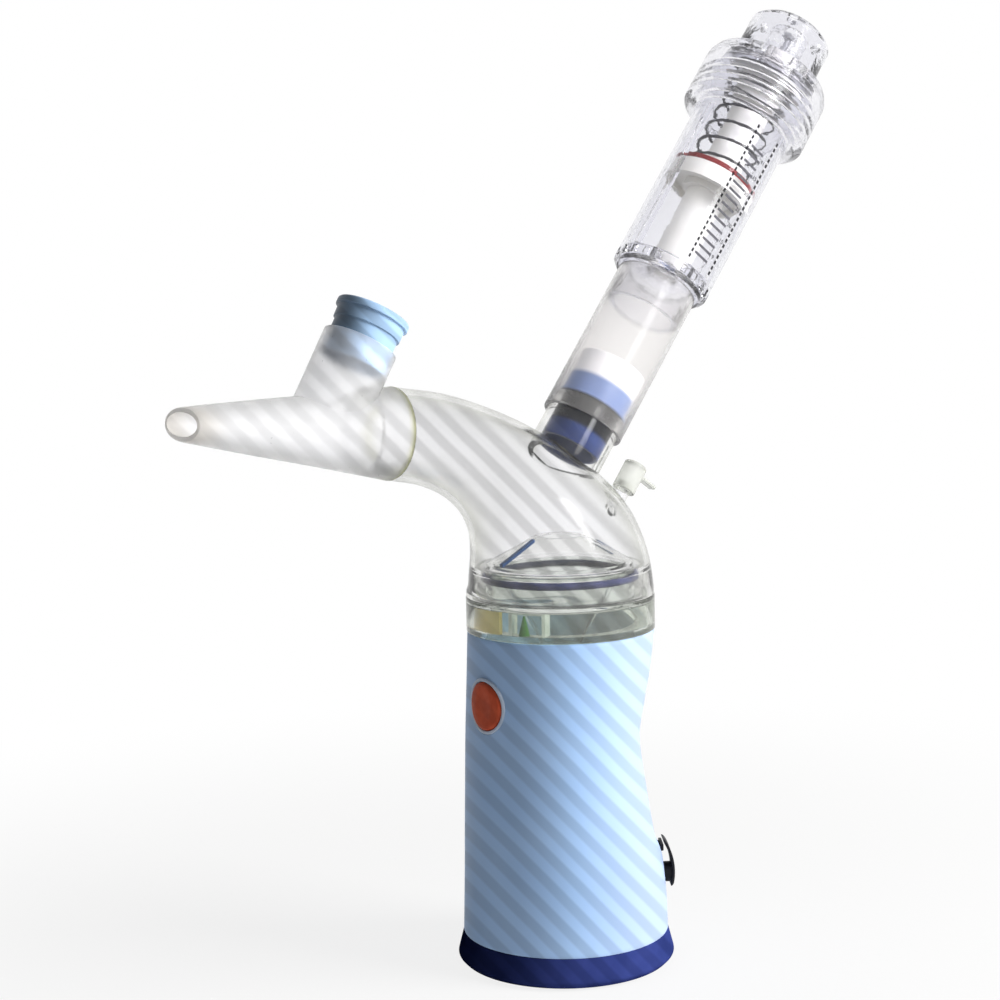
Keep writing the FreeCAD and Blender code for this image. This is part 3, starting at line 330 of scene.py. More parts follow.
# The photograph's viewpoint, with its place in metres
SIGHT_ROUND = math.radians(53.69)
SIGHT_RIGHT = Vector((math.cos(SIGHT_ROUND), math.sin(SIGHT_ROUND), 0))
SIGHT_TOWARD = Vector((math.sin(SIGHT_ROUND), -math.cos(SIGHT_ROUND), 0))
SIGHT_DOWN, SIGHT_ROLL = math.radians(6.79), math.radians(-1.2)
SIGHT_AHEAD = -SIGHT_TOWARD * math.cos(SIGHT_DOWN) - Vector((0, 0, math.sin(SIGHT_DOWN)))
LEVEL_UP = SIGHT_RIGHT.cross(SIGHT_AHEAD)
PICTURE_RIGHT = SIGHT_RIGHT * math.cos(SIGHT_ROLL) + LEVEL_UP * math.sin(SIGHT_ROLL)
PICTURE_UP = LEVEL_UP * math.cos(SIGHT_ROLL) - SIGHT_RIGHT * math.sin(SIGHT_ROLL)
EYE = SIGHT_TOWARD * 0.72986 - SIGHT_RIGHT * 0.02049 + Vector((0, 0, 0.25232))
SLAT_ACROSS = tuple(PICTURE_RIGHT + PICTURE_UP)
SLAT_PITCH, SLAT_SHIFT = 0.013363, -0.268
LEAN = (0, math.sin(math.radians(36.5)), math.cos(math.radians(36.5)))
GRAIN = grain_effect()
SLATS = slat_effect()


def tipped(tree, colour, direction, start, end, other):
    """A colour that turns into another over a stretch along a direction."""
    place = put(tree, "TexCoord").outputs["Object"]
    along = put(tree, "VectorMath", {0: place, 1: direction}, operation="DOT_PRODUCT")
    near = put(tree, "MapRange", {"Value": along.outputs["Value"], "From Min": start, "From Max": end},
               interpolation_type="SMOOTHSTEP")
    return shade(tree, near.outputs["Result"], colour, other)


def blank(name):
    """A new material with its tree, its shader and its output."""
    made = bpy.data.materials.new(name)
    made.use_nodes = True
    tree = made.node_tree
    return made, tree, tree.nodes["Principled BSDF"], tree.nodes["Material Output"]


def grain_nodes(tree, grains, patches):
    """The moulded grain at two scales."""
    made = put(tree, "Group", node_tree=GRAIN)
    made.inputs["Grains"].default_value = grains
    made.inputs["Patches"].default_value = patches
    return made


def between(tree, share, low, high):
    """A value between two others, by a share from a node."""
    return put(tree, "MapRange", {"Value": share, "To Min": low, "To Max": high}).outputs["Result"]


def shade(tree, share, low, high):
    """A colour between two others, by a share from a node or a number."""
    made = put(tree, "Mix", data_type="RGBA")
    for index, value in ((0, share), (6, low), (7, high)):
        if isinstance(value, bpy.types.NodeSocket):
            tree.links.new(value, made.inputs[index])
        else:
            made.inputs[index].default_value = value if index == 0 else (*value, 1.0)
    return made.outputs[2]


def slatted(tree, colour, depth):
    """A colour with its dark bands taken down by a share of its light."""
    made = put(tree, "Group", node_tree=SLATS)
    for label, value in (("Pitch", SLAT_PITCH), ("Edge", 0.55), ("Shift", SLAT_SHIFT)):
        made.inputs[label].default_value = value
    return shade(tree, between(tree, made.outputs["Light"], 1 - depth, 1.0), (0.0, 0.0, 0.0), colour)


def across(tree, colour, start, end, low):
    """A colour that gains light from left to right over a stretch of the picture's width."""
    place = put(tree, "TexCoord").outputs["Object"]
    side = put(tree, "VectorMath", {0: place, 1: tuple(SIGHT_RIGHT)}, operation="DOT_PRODUCT")
    reach = put(tree, "MapRange", {"Value": side.outputs["Value"], "From Min": start, "From Max": end,
                                   "To Min": low, "To Max": 1.0}, interpolation_type="SMOOTHSTEP")
    return shade(tree, reach.outputs["Result"], (0.0, 0.0, 0.0), colour)


def solid_finish(name, dark, light, gloss=(0.35, 0.5), grains=2500.0, patches=60.0, bump=0.1, metal=0.0,
                 slats=0.0, fade=None, shine=0.3, tips=()):
    """A solid plastic, rubber or metal with uneven tone, grained gloss and a fine skin."""
    made, tree, shader, _ = blank(name)
    grain = grain_nodes(tree, grains, patches)
    colour = shade(tree, grain.outputs["Tone"], dark, light)
    for tip in tips:
        colour = tipped(tree, colour, *tip)
    # painted light and shade: slanting bands from a blind, put into the colour
    if slats:
        colour = slatted(tree, colour, slats)
    # painted shade: the colour darkens toward the left as seen from the camera
    if fade:
        colour = across(tree, colour, *fade)
    tree.links.new(colour, shader.inputs["Base Color"])
    tree.links.new(between(tree, grain.outputs["Fine"], gloss[0], gloss[1]), shader.inputs["Roughness"])
    relief = put(tree, "Bump", {"Strength": bump, "Distance": 0.0001, "Height": grain.outputs["Fine"]})
    tree.links.new(relief.outputs["Normal"], shader.inputs["Normal"])
    shader.inputs["Metallic"].default_value = metal
    shader.inputs["Specular IOR Level"].default_value = shine
    return made


def clear_finish(name, middle, rim, gloss=(0.02, 0.06), haze=0.05, blend=0.4, power=1.6, slats=0.0,
                 bump=0.05, patches=45.0, ior=1.3, tips=(), fade=None):
    """Clear or hazy plastic that takes its tint toward its edges and lets lamps through."""
    made, tree, shader, output = blank(name)
    grain = grain_nodes(tree, 900.0, patches)
    edge = put(tree, "LayerWeight", {"Blend": blend}).outputs["Facing"]
    edge = put(tree, "Math", {0: edge, 1: power}, operation="POWER").outputs[0]
    uneven = between(tree, grain.outputs["Tone"], 0.8, 1.15)
    edge = put(tree, "Math", {0: edge, 1: uneven}, operation="MULTIPLY", use_clamp=True).outputs[0]
    colour = shade(tree, grain.outputs["Tone"], middle, tuple(value * 0.985 for value in middle))
    # painted shade: the colour darkens toward the left as seen from the camera
    if fade:
        colour = across(tree, colour, *fade)
    colour = shade(tree, edge, colour, rim)
    for tip in tips:
        colour = tipped(tree, colour, *tip)
    # painted light and shade: slanting bands from a blind, put into the colour
    if slats:
        colour = slatted(tree, colour, slats)
    tree.links.new(colour, shader.inputs["Base Color"])
    tree.links.new(between(tree, grain.outputs["Fine"], gloss[0], gloss[1]), shader.inputs["Roughness"])
    relief = put(tree, "Bump", {"Strength": bump, "Distance": 0.0003, "Height": grain.outputs["Tone"]})
    tree.links.new(relief.outputs["Normal"], shader.inputs["Normal"])
    shader.inputs["Transmission Weight"].default_value = 1 - haze
    shader.inputs["IOR"].default_value = ior
    through = put(tree, "BsdfTransparent", {"Color": (*middle, 1.0)})
    lamps = put(tree, "LightPath").outputs["Is Shadow Ray"]
    mixed = put(tree, "MixShader", {0: lamps, 1: shader.outputs[0], 2: through.outputs[0]})
    tree.links.new(mixed.outputs[0], output.inputs["Surface"])
    return made


# painted sheen: toward the right as seen from the camera the sleeve's blue turns less saturated
sleeve_blue = solid_finish("sleeve_blue", (0.39, 0.60, 0.94), (0.44, 0.65, 0.98), (0.45, 0.55), 3500, 40,
                           0.12, slats=0.22, shine=0.4,
                           tips=((tuple(SIGHT_RIGHT), 0.0, 0.032, (0.47, 0.60, 0.88)),))
# painted shade: the base darkens toward the left as seen from the camera, to about a third
navy_plastic = solid_finish("navy_plastic", (0.026, 0.040, 0.17), (0.038, 0.055, 0.22), (0.5, 0.6), 2200, 90,
                            0.2, slats=0.20, shine=0.0, fade=(-0.036, 0.004, 0.36))
foot_rubber = solid_finish("foot_rubber", (0.03, 0.03, 0.035), (0.05, 0.05, 0.055), (0.7, 0.9), 1800, 120,
                           0.4)
orange_plastic = solid_finish("orange_plastic", (0.56, 0.085, 0.035), (0.70, 0.125, 0.055), (0.4, 0.5), 1500,
                              260, 0.15, slats=0.15, shine=0.1)
bezel_plastic = solid_finish("bezel_plastic", (0.50, 0.60, 0.76), (0.62, 0.72, 0.88), (0.3, 0.4), 2500, 100,
                             0.1)
black_rubber = solid_finish("black_rubber", (0.006, 0.006, 0.009), (0.014, 0.014, 0.018), (0.4, 0.6), 2000,
                            150, 0.2, shine=0.2)
black_plastic = solid_finish("black_plastic", (0.012, 0.012, 0.014), (0.025, 0.025, 0.03), (0.4, 0.55), 2500,
                             100, 0.15)
screw_steel = solid_finish("screw_steel", (0.5, 0.5, 0.52), (0.68, 0.68, 0.7), (0.25, 0.4), 4000, 300, 0.15,
                           metal=1.0)
nickel = solid_finish("nickel", (0.6, 0.58, 0.54), (0.74, 0.72, 0.68), (0.2, 0.35), 4000, 200, 0.1, metal=1.0)
spring_wire = solid_finish("spring_wire", (0.04, 0.04, 0.045), (0.1, 0.1, 0.11), (0.3, 0.45), 3000, 400, 0.1,
                           metal=0.6)
frame_grey = solid_finish("frame_grey", (0.46, 0.47, 0.49), (0.56, 0.57, 0.59), (0.5, 0.65), 2500, 60, 0.2)
cell_wrap = solid_finish("cell_wrap", (0.03, 0.20, 0.16), (0.05, 0.26, 0.2), (0.25, 0.4), 1500, 80, 0.1)
board_green = solid_finish("board_green", (0.015, 0.13, 0.05), (0.03, 0.2, 0.08), (0.3, 0.45), 1800, 500, 0.1)
chip_black = solid_finish("chip_black", (0.015, 0.015, 0.016), (0.03, 0.03, 0.032), (0.5, 0.7), 5000, 300,
                          0.2)
can_metal = solid_finish("can_metal", (0.66, 0.67, 0.7), (0.8, 0.8, 0.83), (0.25, 0.4), 4000, 200, 0.1,
                         metal=1.0)
header_white = solid_finish("header_white", (0.72, 0.70, 0.62), (0.82, 0.8, 0.72), (0.4, 0.55), 2500, 150,
                            0.1)
navy_rubber = solid_finish("navy_rubber", (0.006, 0.010, 0.06), (0.012, 0.022, 0.12), (0.35, 0.5), 2500, 60,
                           0.1, shine=0.2)
rib_navy = solid_finish("rib_navy", (0.02, 0.05, 0.12), (0.03, 0.07, 0.17), (0.3, 0.45), 2500, 120, 0.1,
                        shine=0.2)
# painted shadow: a near-black band round the valve just under and inside the mouth tube's lower end; above it
# the colour turns pale blue, then near white toward the top
valve_blue = solid_finish("valve_blue", (0.010, 0.025, 0.11), (0.02, 0.042, 0.16), (0.2, 0.35), 2500, 80, 0.1,
                          shine=0.1, tips=((LEAN, 0.1550, 0.1570, (0.001, 0.002, 0.006)),
                                           (LEAN, 0.1660, 0.1675, (0.15, 0.22, 0.44)),
                                           (LEAN, 0.1738, 0.1760, (0.82, 0.82, 0.86))))
# painted shade: the cap darkens toward the left as seen from the camera
steel_blue = solid_finish("steel_blue", (0.40, 0.60, 0.88), (0.45, 0.66, 0.94), (0.35, 0.45), 2500, 90, 0.12,
                          slats=0.26, fade=(-0.0715, -0.060, 0.3))
ceramic_disc = solid_finish("ceramic_disc", (0.66, 0.64, 0.58), (0.76, 0.74, 0.68), (0.2, 0.35), 4000, 120,
                            0.1, metal=0.8)
seal_black = solid_finish("seal_black", (0.02, 0.02, 0.022), (0.045, 0.045, 0.05), (0.45, 0.6), 2000, 150,
                          0.2)
silicone = solid_finish("silicone", (0.7, 0.72, 0.75), (0.82, 0.84, 0.86), (0.4, 0.6), 2000, 90, 0.1)
core_white = solid_finish("core_white", (0.78, 0.76, 0.70), (0.90, 0.89, 0.86), (0.3, 0.45), 2500, 50, 0.1)
ring_red = solid_finish("ring_red", (0.16, 0.003, 0.005), (0.24, 0.006, 0.009), (0.3, 0.45), 2500, 120, 0.1)
drop_green = solid_finish("drop_green", (0.03, 0.13, 0.015), (0.06, 0.19, 0.03), (0.3, 0.45), 2500, 250, 0.1,
                          shine=0.1)
ink = solid_finish("scale_ink", (0.012, 0.012, 0.015), (0.03, 0.03, 0.035), (0.5, 0.7), 4000, 900, 0.1,
                   shine=0.2)
grey_ink = solid_finish("tick_ink", (0.07, 0.07, 0.08), (0.13, 0.13, 0.15), (0.5, 0.7), 4000, 900, 0.1,
                        shine=0.2)

# painted shade: the dome's tint darkens a little toward the left as seen from the camera
dome_clear = clear_finish("dome_clear", (0.985, 0.985, 0.995), (0.52, 0.53, 0.41), (0.04, 0.08), 0.012, 0.5,
                          2.4, slats=0.13, fade=(-0.035, 0.01, 0.93))
tank_clear = clear_finish("tank_clear", (0.84, 0.87, 0.83), (0.50, 0.54, 0.43), (0.03, 0.08), 0.08, 0.4, 1.6,
                          slats=0.11)
lid_clear = clear_finish("lid_clear", (0.86, 0.89, 0.85), (0.48, 0.52, 0.40), (0.02, 0.06), 0.04, 0.4, 1.7,
                         slats=0.11)
cup_clear = clear_finish("cup_clear", (0.985, 0.985, 0.98), (0.84, 0.85, 0.80), (0.03, 0.06), 0.01, 0.4, 2.2,
                         ior=1.05)
gauge_clear = clear_finish("gauge_clear", (0.95, 0.97, 0.94), (0.82, 0.85, 0.80), (0.1, 0.2), 0.4, 0.4, 1.6)
frosted = clear_finish("frosted", (0.985, 0.985, 0.992), (0.68, 0.68, 0.60), (0.25, 0.34), 0.12, 0.35, 3.6,
                       slats=0.12, ior=1.3,
                       tips=(((0, -1, 0), 0.134, 0.146, (0.84, 0.81, 0.77)),
                             ((0, -0.9945, 0.1045), 0.0914, 0.0902, (0.66, 0.66, 0.44))))
# painted shade: the tube's tint darkens a little toward the left as seen from the camera
tube_clear = clear_finish("tube_clear", (0.965, 0.955, 0.95), (0.83, 0.82, 0.81), (0.18, 0.24), 0.05, 0.4,
                          2.0, fade=(0.0, 0.05, 0.94), bump=0.03)
trainer_clear = clear_finish("trainer_clear", (0.93, 0.93, 0.955), (0.79, 0.79, 0.85), (0.03, 0.10), 0.012,
                             0.45, 1.9, bump=0.35, patches=260.0)
stopper_clear = clear_finish("stopper_clear", (0.80, 0.81, 0.78), (0.50, 0.51, 0.46), (0.15, 0.25), 0.35, 0.4,
                             1.6)
amber_tint = clear_finish("amber_tint", (0.98, 0.83, 0.36), (0.62, 0.48, 0.16), (0.25, 0.35), 0.55, 0.4, 1.4)
lamp_tint = clear_finish("lamp_tint", (0.45, 0.85, 0.45), (0.2, 0.6, 0.2), (0.05, 0.12), 0.3, 0.4, 1.2)


# Handle

BASE_LOW, BASE_HIGH, BASE_TOP = 38.8, 36.6, 11.0
SLEEVE_TOP, SLEEVE_RADIUS, SLEEVE_WALL, WAIST_DEEP = 119.6, 33.0, 2.2, 9.9
WAIST = [(0, 0), (0.1, 0), (0.2, 0.07), (0.32, 0.46), (0.48, 0.745), (0.64, 0.96), (0.76, 0.66), (0.88, 0.27),
         (1, 0)]


def navy_base():
    """The base cup, with wells for its three screws."""
    lip = BASE_HIGH - SLEEVE_WALL - 0.7
    cup = turned("navy_base", eased([
        (0, 1.6, 0), (26.05, 1.6, 0.1), (26.05, 0.6, 0.2), (BASE_LOW - 2, 0.6, 1.2), (BASE_LOW, 2.6, 1.6),
        (BASE_HIGH, BASE_TOP, 0.5), (lip, BASE_TOP, 0.1), (lip, 14.5, 0.3), (lip - 1.55, 14.5, 0.3),
        (lip - 1.55, 3.2, 0.3), (0, 3.2, 0)], parts=5), steps=144)
    for turn in (30, 150, 270):
        angle = math.radians(turn)
        x, y = 28.9 * math.cos(angle), 28.9 * math.sin(angle)
        well = turned("well", [(0, 0), (2.8, 0), (2.8, 1.9), (1.5, 1.9), (1.5, 10), (0, 10)],
                      standing(x, y, 0), 32)
        carved(cup, "DIFFERENCE", well)
    fitted(cup, navy_plastic, "handle", ["base_cover"])


def blue_sleeve():
    """The sleeve, which tapers upward and gives way to the fingers at the back."""
    rows = flowing([(share, deep) for share, deep in WAIST], 7)

    def ring(share, deep, inset, lift=0.0):
        drop = WAIST_DEEP * max(deep, 0.0)
        radius = SLEEVE_RADIUS + (BASE_HIGH - SLEEVE_RADIUS) * (1 - share)
        wide, long = radius - 0.14 * drop - inset, radius - drop / 2 - inset
        height = BASE_TOP + share * (SLEEVE_TOP - BASE_TOP) + lift
        return [(wide * math.cos(ROUND * step / 128), long * math.sin(ROUND * step / 128) - drop / 2, height)
                for step in range(128)]

    rings = [ring(0, 0, 0.45), ring(0, 0, 0.12, 0.08), ring(0, 0, 0, 0.4)]
    rings += [ring(share, deep, 0) for share, deep in rows[1:-1]]
    rings += [ring(1, 0, 0, -0.7), ring(1, 0, 0.2, -0.2), ring(1, 0, 0.7), ring(1, 0, SLEEVE_WALL - 0.2)]
    rings += [ring(1, 0, SLEEVE_WALL, -0.3)]
    rings += [ring(share, deep, SLEEVE_WALL) for share, deep in reversed(rows[1:-1])]
    rings += [ring(0, 0, SLEEVE_WALL, 0.3), ring(0, 0, SLEEVE_WALL - 0.2)]
    sleeve = wrapped("blue_sleeve", rings, loop=True)
    carved(sleeve, "DIFFERENCE",
           turned("button_well", [(0, 22), (9.95, 22), (9.95, 42), (0, 42)], BUTTON, 64),
           turned("socket_well", [(0, 28), (4.5, 28), (4.5, 40), (0, 40)], outward(SOCKET_HEIGHT, SOCKET),
                  40),
           turned("anchor_well", [(0, 26), (1.55, 26), (1.55, 38), (0, 38)], outward(ANCHOR_HEIGHT, SOCKET),
                  24))
    fitted(sleeve, sleeve_blue, "handle", ["body_shell"], 30)


SLEEVE_HIGH = SLEEVE_TOP - BASE_TOP
BUTTON_FACE = SLEEVE_RADIUS + (BASE_HIGH - SLEEVE_RADIUS) * (SLEEVE_TOP - BUTTON_HEIGHT) / SLEEVE_HIGH


def orange_button():
    def dished(x, y, height):
        if height < 30:
            return x, y, height
        front = math.sqrt((BUTTON_FACE + 1) ** 2 - x * x)
        hollow = BUTTON_FACE + 40.5 - math.sqrt(1600 - x * x - y * y)
        return x, y, min(front, hollow) - (40 - height)
    rings = [(0, 27.6), (2, 27.6), (2, 27.55), (9.6, 27.55), (9.6, 28.95), (8.4, 28.95), (8.4, 38.9),
             (8.3, 39.45), (8.05, 39.8), (7.6, 39.97)]
    rings += [(radius, 40) for radius in range(7, -1, -1)]
    button = turned("orange_button", rings, BUTTON, 64, dished)
    fitted(button, orange_plastic, "button", ["button"])

    def curved(x, y, height):
        if height < 30:
            return x, y, height
        return x, y, math.sqrt((BUTTON_FACE + 0.5) ** 2 - x * x) - (40 - height)
    bezel = turned("button_bezel_ring", [
        (8.55, 29), (9.9, 29), (9.9, 39.5), (9.75, 39.85), (9.5, 40), (8.95, 40), (8.7, 39.85), (8.55, 39.5)],
        BUTTON, 64, curved)
    fitted(bezel, bezel_plastic, "handle", ["button_bezel"])


FLAP_HUB, FLAP_CURVE, FLAP_THICK, FLAP_STEPS = (17.1, 31), 22, 1, 28
FLAP_LOW, FLAP_LONG = 25.6, 17


def socket_cover():
    """The rubber flap over the power socket, its plug and its anchor block."""
    rings = []
    for step in range(FLAP_STEPS + 1):
        height = FLAP_LOW + FLAP_LONG * step / FLAP_STEPS
        outer, inner = (FLAP_HUB[0] + math.sqrt(curve ** 2 - (height - FLAP_HUB[1]) ** 2)
                        for curve in (FLAP_CURVE, FLAP_CURVE - FLAP_THICK))
        end = min(step, FLAP_STEPS - step)
        half = 4.5 - (0.9, 0.35, 0.08, 0.0)[min(end, 3)]
        thin = (0.3, 0.12, 0.02, 0.0)[min(end, 3)]
        rings.append([(outer - thin, -half + 0.3, height), (outer - thin, half - 0.3, height),
                      (outer - thin - 0.3, half, height), (inner + thin + 0.2, half, height),
                      (inner + thin, half - 0.3, height), (inner + thin, -half + 0.3, height),
                      (inner + thin + 0.2, -half, height), (outer - thin - 0.3, -half, height)])
    flap = wrapped("socket_flap", capped(rings))
    plug = turned("socket_plug", eased([(0, 35.24), (3.6, 35.24), (3.6, 38.44), (0, 38.44)], 0.3),
                  outward(SOCKET_HEIGHT), 40)
    carved(flap, "UNION", plug)
    flap.data.transform(SOCKET)
    fitted(flap, black_rubber, "cover", ["socket_cover"])
    anchor = block("flap_anchor", (1.1, 9, 2.4), (34.55, 0, ANCHOR_HEIGHT), 0.28)
    neck = turned("anchor_neck", [(0, 29.05), (2.4, 29.05), (2.4, 29.9), (1.5, 30), (1.5, 34.3), (0, 34.3)],
                  outward(ANCHOR_HEIGHT), 24)
    carved(anchor, "UNION", neck)
    anchor.data.transform(SOCKET)
    fitted(anchor, black_rubber, "handle", ["cover_anchor"])


# Water chamber and cup

def water_chamber():
    tank = turned("water_tank", eased([
        (9.3, 108), (28.1, 108, 0.8), (28.1, 119.7, 0.1), (33.3, 119.7, 0.3), (33.3, 130, 0.2),
        (31.3, 130, 0.1), (31.3, 121.7, 0.4), (26.3, 121.7, 0.3), (26.3, 110, 0.8), (9.3, 110)]), steps=144)
    fitted(tank, tank_clear, "handle", ["chamber_body"])
    lid = turned("tank_lid", eased([
        (24.4, 130.02), (33.3, 130.02, 0.2), (33.3, 131.8, 0.5), (26.5, 131.8, 0.3), (26.5, 137.05, 0.1),
        (25.45, 137.05, 0.1), (25.45, 139.75, 0.1), (26.5, 139.75, 0.1), (26.5, 141, 0.3), (24.4, 141, 0.3)]),
        steps=144)
    fitted(lid, lid_clear, "handle", ["chamber_lid"])
    cup = turned("medicine_bowl", eased([
        (0, 113), (7, 113, 1), (24.1, 141.05, 0.2), (25.9, 141.05, 0.1), (25.9, 142.05, 0.2),
        (23.1, 142.05, 0.3), (6.3, 114), (0, 114)]), steps=96)
    fitted(cup, cup_clear, "cup", ["medicine_cup"])
    guard = turned("splash_cone", eased([
        (23.6, 142.1, 0.1), (25.9, 142.1, 0.1), (25.9, 143.4, 0.4), (9, 152.6, 0.4), (7.9, 152.6, 0.2),
        (7.9, 151.8, 0.2), (23.6, 143.25, 0.2)]), steps=96)
    fitted(guard, cup_clear, "cup", ["splash_guard"])


# Elbow head

ELBOW = [(0, 133.5, 0, 33.1), (-1.1, 141.6, 13.7, 32.2), (-4.2, 150.6, 24.7, 30.4), (-9.6, 159.9, 34.7, 26.7),
         (-17.1, 169, 44.4, 22.4), (-26.8, 177.4, 54.2, 19.1), (-38.9, 184.5, 64.2, 16.9),
         (-53.2, 189.9, 74.2, 15.9), (OUTLET_Y, OUTLET_Z, 84, 15.4)]
ELBOW_STEPS, DOME_WALL = 120, 2


def elbow_rings(inset):
    """Rings along the bent dome; each station gives its place, its height, its tilt and its radius."""
    rings = []
    for along, up, tilt, size in flowing(ELBOW, 8):
        lean, radius = math.radians(tilt), size - inset
        rings.append([(x, along + y * math.cos(lean), up + y * math.sin(lean))
                      for x, y, _ in oval(radius, radius, 0, ELBOW_STEPS)])
    return rings


def clear_dome():
    foot, start, end = 132, 133.5, [(0, OUTLET_Y, OUTLET_Z)]
    dome = wrapped("clear_dome",
                   [[(0, 0, foot)], oval(33.1, 33.1, foot, ELBOW_STEPS)] + elbow_rings(0) + [end])
    carved(dome, "UNION", rod("spigot", 13.5, -3, 11, OUTLET, ease=0.6),
           rod("port", 13.5, -16, 6, TRAINER, ease=0.7), rod("small_port", 2.6, -9, 5, SMALL_PORT, 32, 0.3))
    hollow = wrapped("hollow", [[(0, 0, start)]] + elbow_rings(DOME_WALL) + [end])
    carved(hollow, "INTERSECT", block("room", (120, 160, 120), (0, -30, 202.5), 0))
    carved(dome, "DIFFERENCE", hollow, rod("foot_bore", 28.15, 131, 143, UPRIGHT, 120),
           turned("groove", [(29.75, 131), (31.1, 131), (31.1, 140.5), (29.75, 140.5)], steps=120),
           rod("outlet_bore", 11.6, -6, 13, OUTLET), rod("port_bore", 11, -16, 7, TRAINER),
           rod("small_bore", 1.3, -9.5, 6.5, SMALL_PORT, 32))
    fitted(dome, dome_clear, "head", ["dome"], 30)


def small_cap():
    cap = turned("small_cap", eased([
        (0, 13.4), (3.6, 13.4, 0.6), (4.3, 12.8, 0.5), (4.3, 2.4, 0.4), (2.65, 2.4, 0.1), (2.65, 5.1, 0.1),
        (0, 5.1)]), SMALL_PORT, 48)
    tab = block("cap_tab", (3.6, 9, 1.4), (0, 7, 10.4), 0.4, SMALL_PORT)
    carved(cap, "UNION", tab)
    fitted(cap, stopper_clear, "stopper", ["small_port_cap"])


# Mouthpiece

MOUTH = [(0, 15.6, 15.6), (26.95, 15, 11.9), (53.9, 13.2, 8.5), (77, 11.5, 5.4)]


def mouthpiece():
    rows = flowing(MOUTH, 10)
    rings = [[(0, 0, 0)], oval(15.1, 15.1, 0), oval(15.45, 15.45, 0.12), oval(15.6, 15.6, 0.5)]
    rings += [oval(wide, high, along) for along, wide, high in rows[1:-1]]
    rings += [oval(11.54, 5.44, 76.3), oval(11.35, 5.25, 76.85), oval(10.9, 4.8, 77), [(0, 0, 77)]]
    mouth = wrapped("mouthpiece_body", rings)
    mouth.data.transform(OUTLET)
    carved(mouth, "UNION", rod("side_port", 12.6, 0, 32, SIDE_PORT, ease=0.6))
    start = [row for row in rows if row[0] > 11.2]
    rings = [[(0, 0, 11.2)], oval(13.9, 13.4, 11.2)]
    rings += [oval(wide - 1.6, high - 1.6, along) for along, wide, high in start]
    rings += [oval(10.2, 4.1, 78), [(0, 0, 78)]]
    hollow = wrapped("mouth_hollow", rings)
    hollow.data.transform(OUTLET)
    carved(mouth, "DIFFERENCE", hollow, rod("mouth_socket", 13.55, -1, 12.3, OUTLET),
           rod("side_bore", 11, 2, 34, SIDE_PORT))
    fitted(mouth, frosted, "mouth", ["mouthpiece"], 30)


def side_valve():
    rim, inner = 32.0, 9.55
    flange = rim + 8.8
    web = rim + 7.4
    cap = turned("side_valve_cap", eased([
        (0, web, 0), (inner, web, 0.1), (inner, rim - 8, 0.2), (10.95, rim - 8, 0.3),
        (10.95, flange - 4.4, 0.3), (11.6, flange - 4.2, 0.2), (11.7, flange, 0.2), (12.6, flange, 0.3),
        (12.6, flange + 2.4, 0.8), (inner + 0.6, flange + 2.4, 0.4), (inner + 0.6, web + 1.4, 0.3),
        (1.2, web + 1.4, 0.2), (1.2, web + 3.4, 0.1), (2.2, web + 3.4, 0.1), (2.2, web + 4.1, 0.2),
        (0, web + 4.1, 0)]), SIDE_PORT, 96)
    hole_ring(cap, 6, 1.7, 5.4, web - 1, web + 3, SIDE_PORT)
    fitted(cap, steel_blue, "side_valve", ["side_valve_body"])


# Trainer

def inlet_valve():
    web, inner = 6.05, 9.55
    valve = turned("inlet_valve_cup", eased([
        (inner, -10.5, 0.3), (10.95, -10.5, 0.3), (10.95, web, 0.1), (13.1, web, 0.2), (13.1, web + 1.4, 0.2),
        (12.4, web + 1.4, 0.1), (12.4, 24, 0.4), (11, 24, 0.2), (11, web + 1.4, 0.3), (0, web + 1.4, 0),
        (0, web - 3.2, 0), (2.2, web - 3.2, 0.1), (2.2, web - 2.5, 0.1), (1.2, web - 2.5, 0.1),
        (1.2, web, 0.1), (inner, web, 0.2)]), TRAINER, 96)
    hole_ring(valve, 6, 1.7, 5.4, web - 1, web + 3, TRAINER)
    fitted(valve, valve_blue, "inlet_valve", ["inlet_valve_body"])


CASE_FLAT, CASE_TOP, COLLAR_BORE = 17.2, 149.0, 18.45
THREAD_PITCH, THREAD_DEPTH, THREAD_STEPS = 3.2, 1.1, 96


def mouth_tube():
    tube = turned("mouth_tube_wall", eased([
        (13.6, 0, 0.2), (15, 0, 0.6), (15, 59.8, 0.3), (13.6, 59.8, 0.2)]), TRAINER, 96)
    fitted(tube, tube_clear, "trainer", ["mouth_tube"])


def trainer_case():
    def flattened(x, y, height):
        if 65.9 < height < 129.1 and math.hypot(x, y) > 17:
            x = max(-CASE_FLAT, min(CASE_FLAT, x))
        return x, y, height
    case = turned("trainer_case", eased([
        (11.5, 47, 0.2), (13.55, 47, 0.2), (13.55, 60, 0.1), (16.3, 60, 0.4), (18.3, 62, 0.8),
        (18.3, 65.2, 0), (18.3, 66, 0), (18.3, 129, 0), (18.3, 129.8, 0), (18.3, CASE_TOP, 0.3),
        (16, CASE_TOP, 0.3), (16, 62.5, 0.6), (11.5, 62.5, 0.3)]),
        UPRIGHT, 144, flattened)
    for side in (1, -1):
        carved(case, "UNION", block("key", (2, 1.9, 62), (0, side * 15.65, 97.5), 0))
    carved(case, "DIFFERENCE", grown("foot_grooves", ring_tree("groove_ring", trainer_clear), UPRIGHT,
                                     Count=22, Radius=18.2, Height=63.2, Size=(1.7, 2.0, 2.6)))
    case.data.transform(TRAINER)
    fitted(case, trainer_clear, "trainer", ["trainer_housing"], 14)


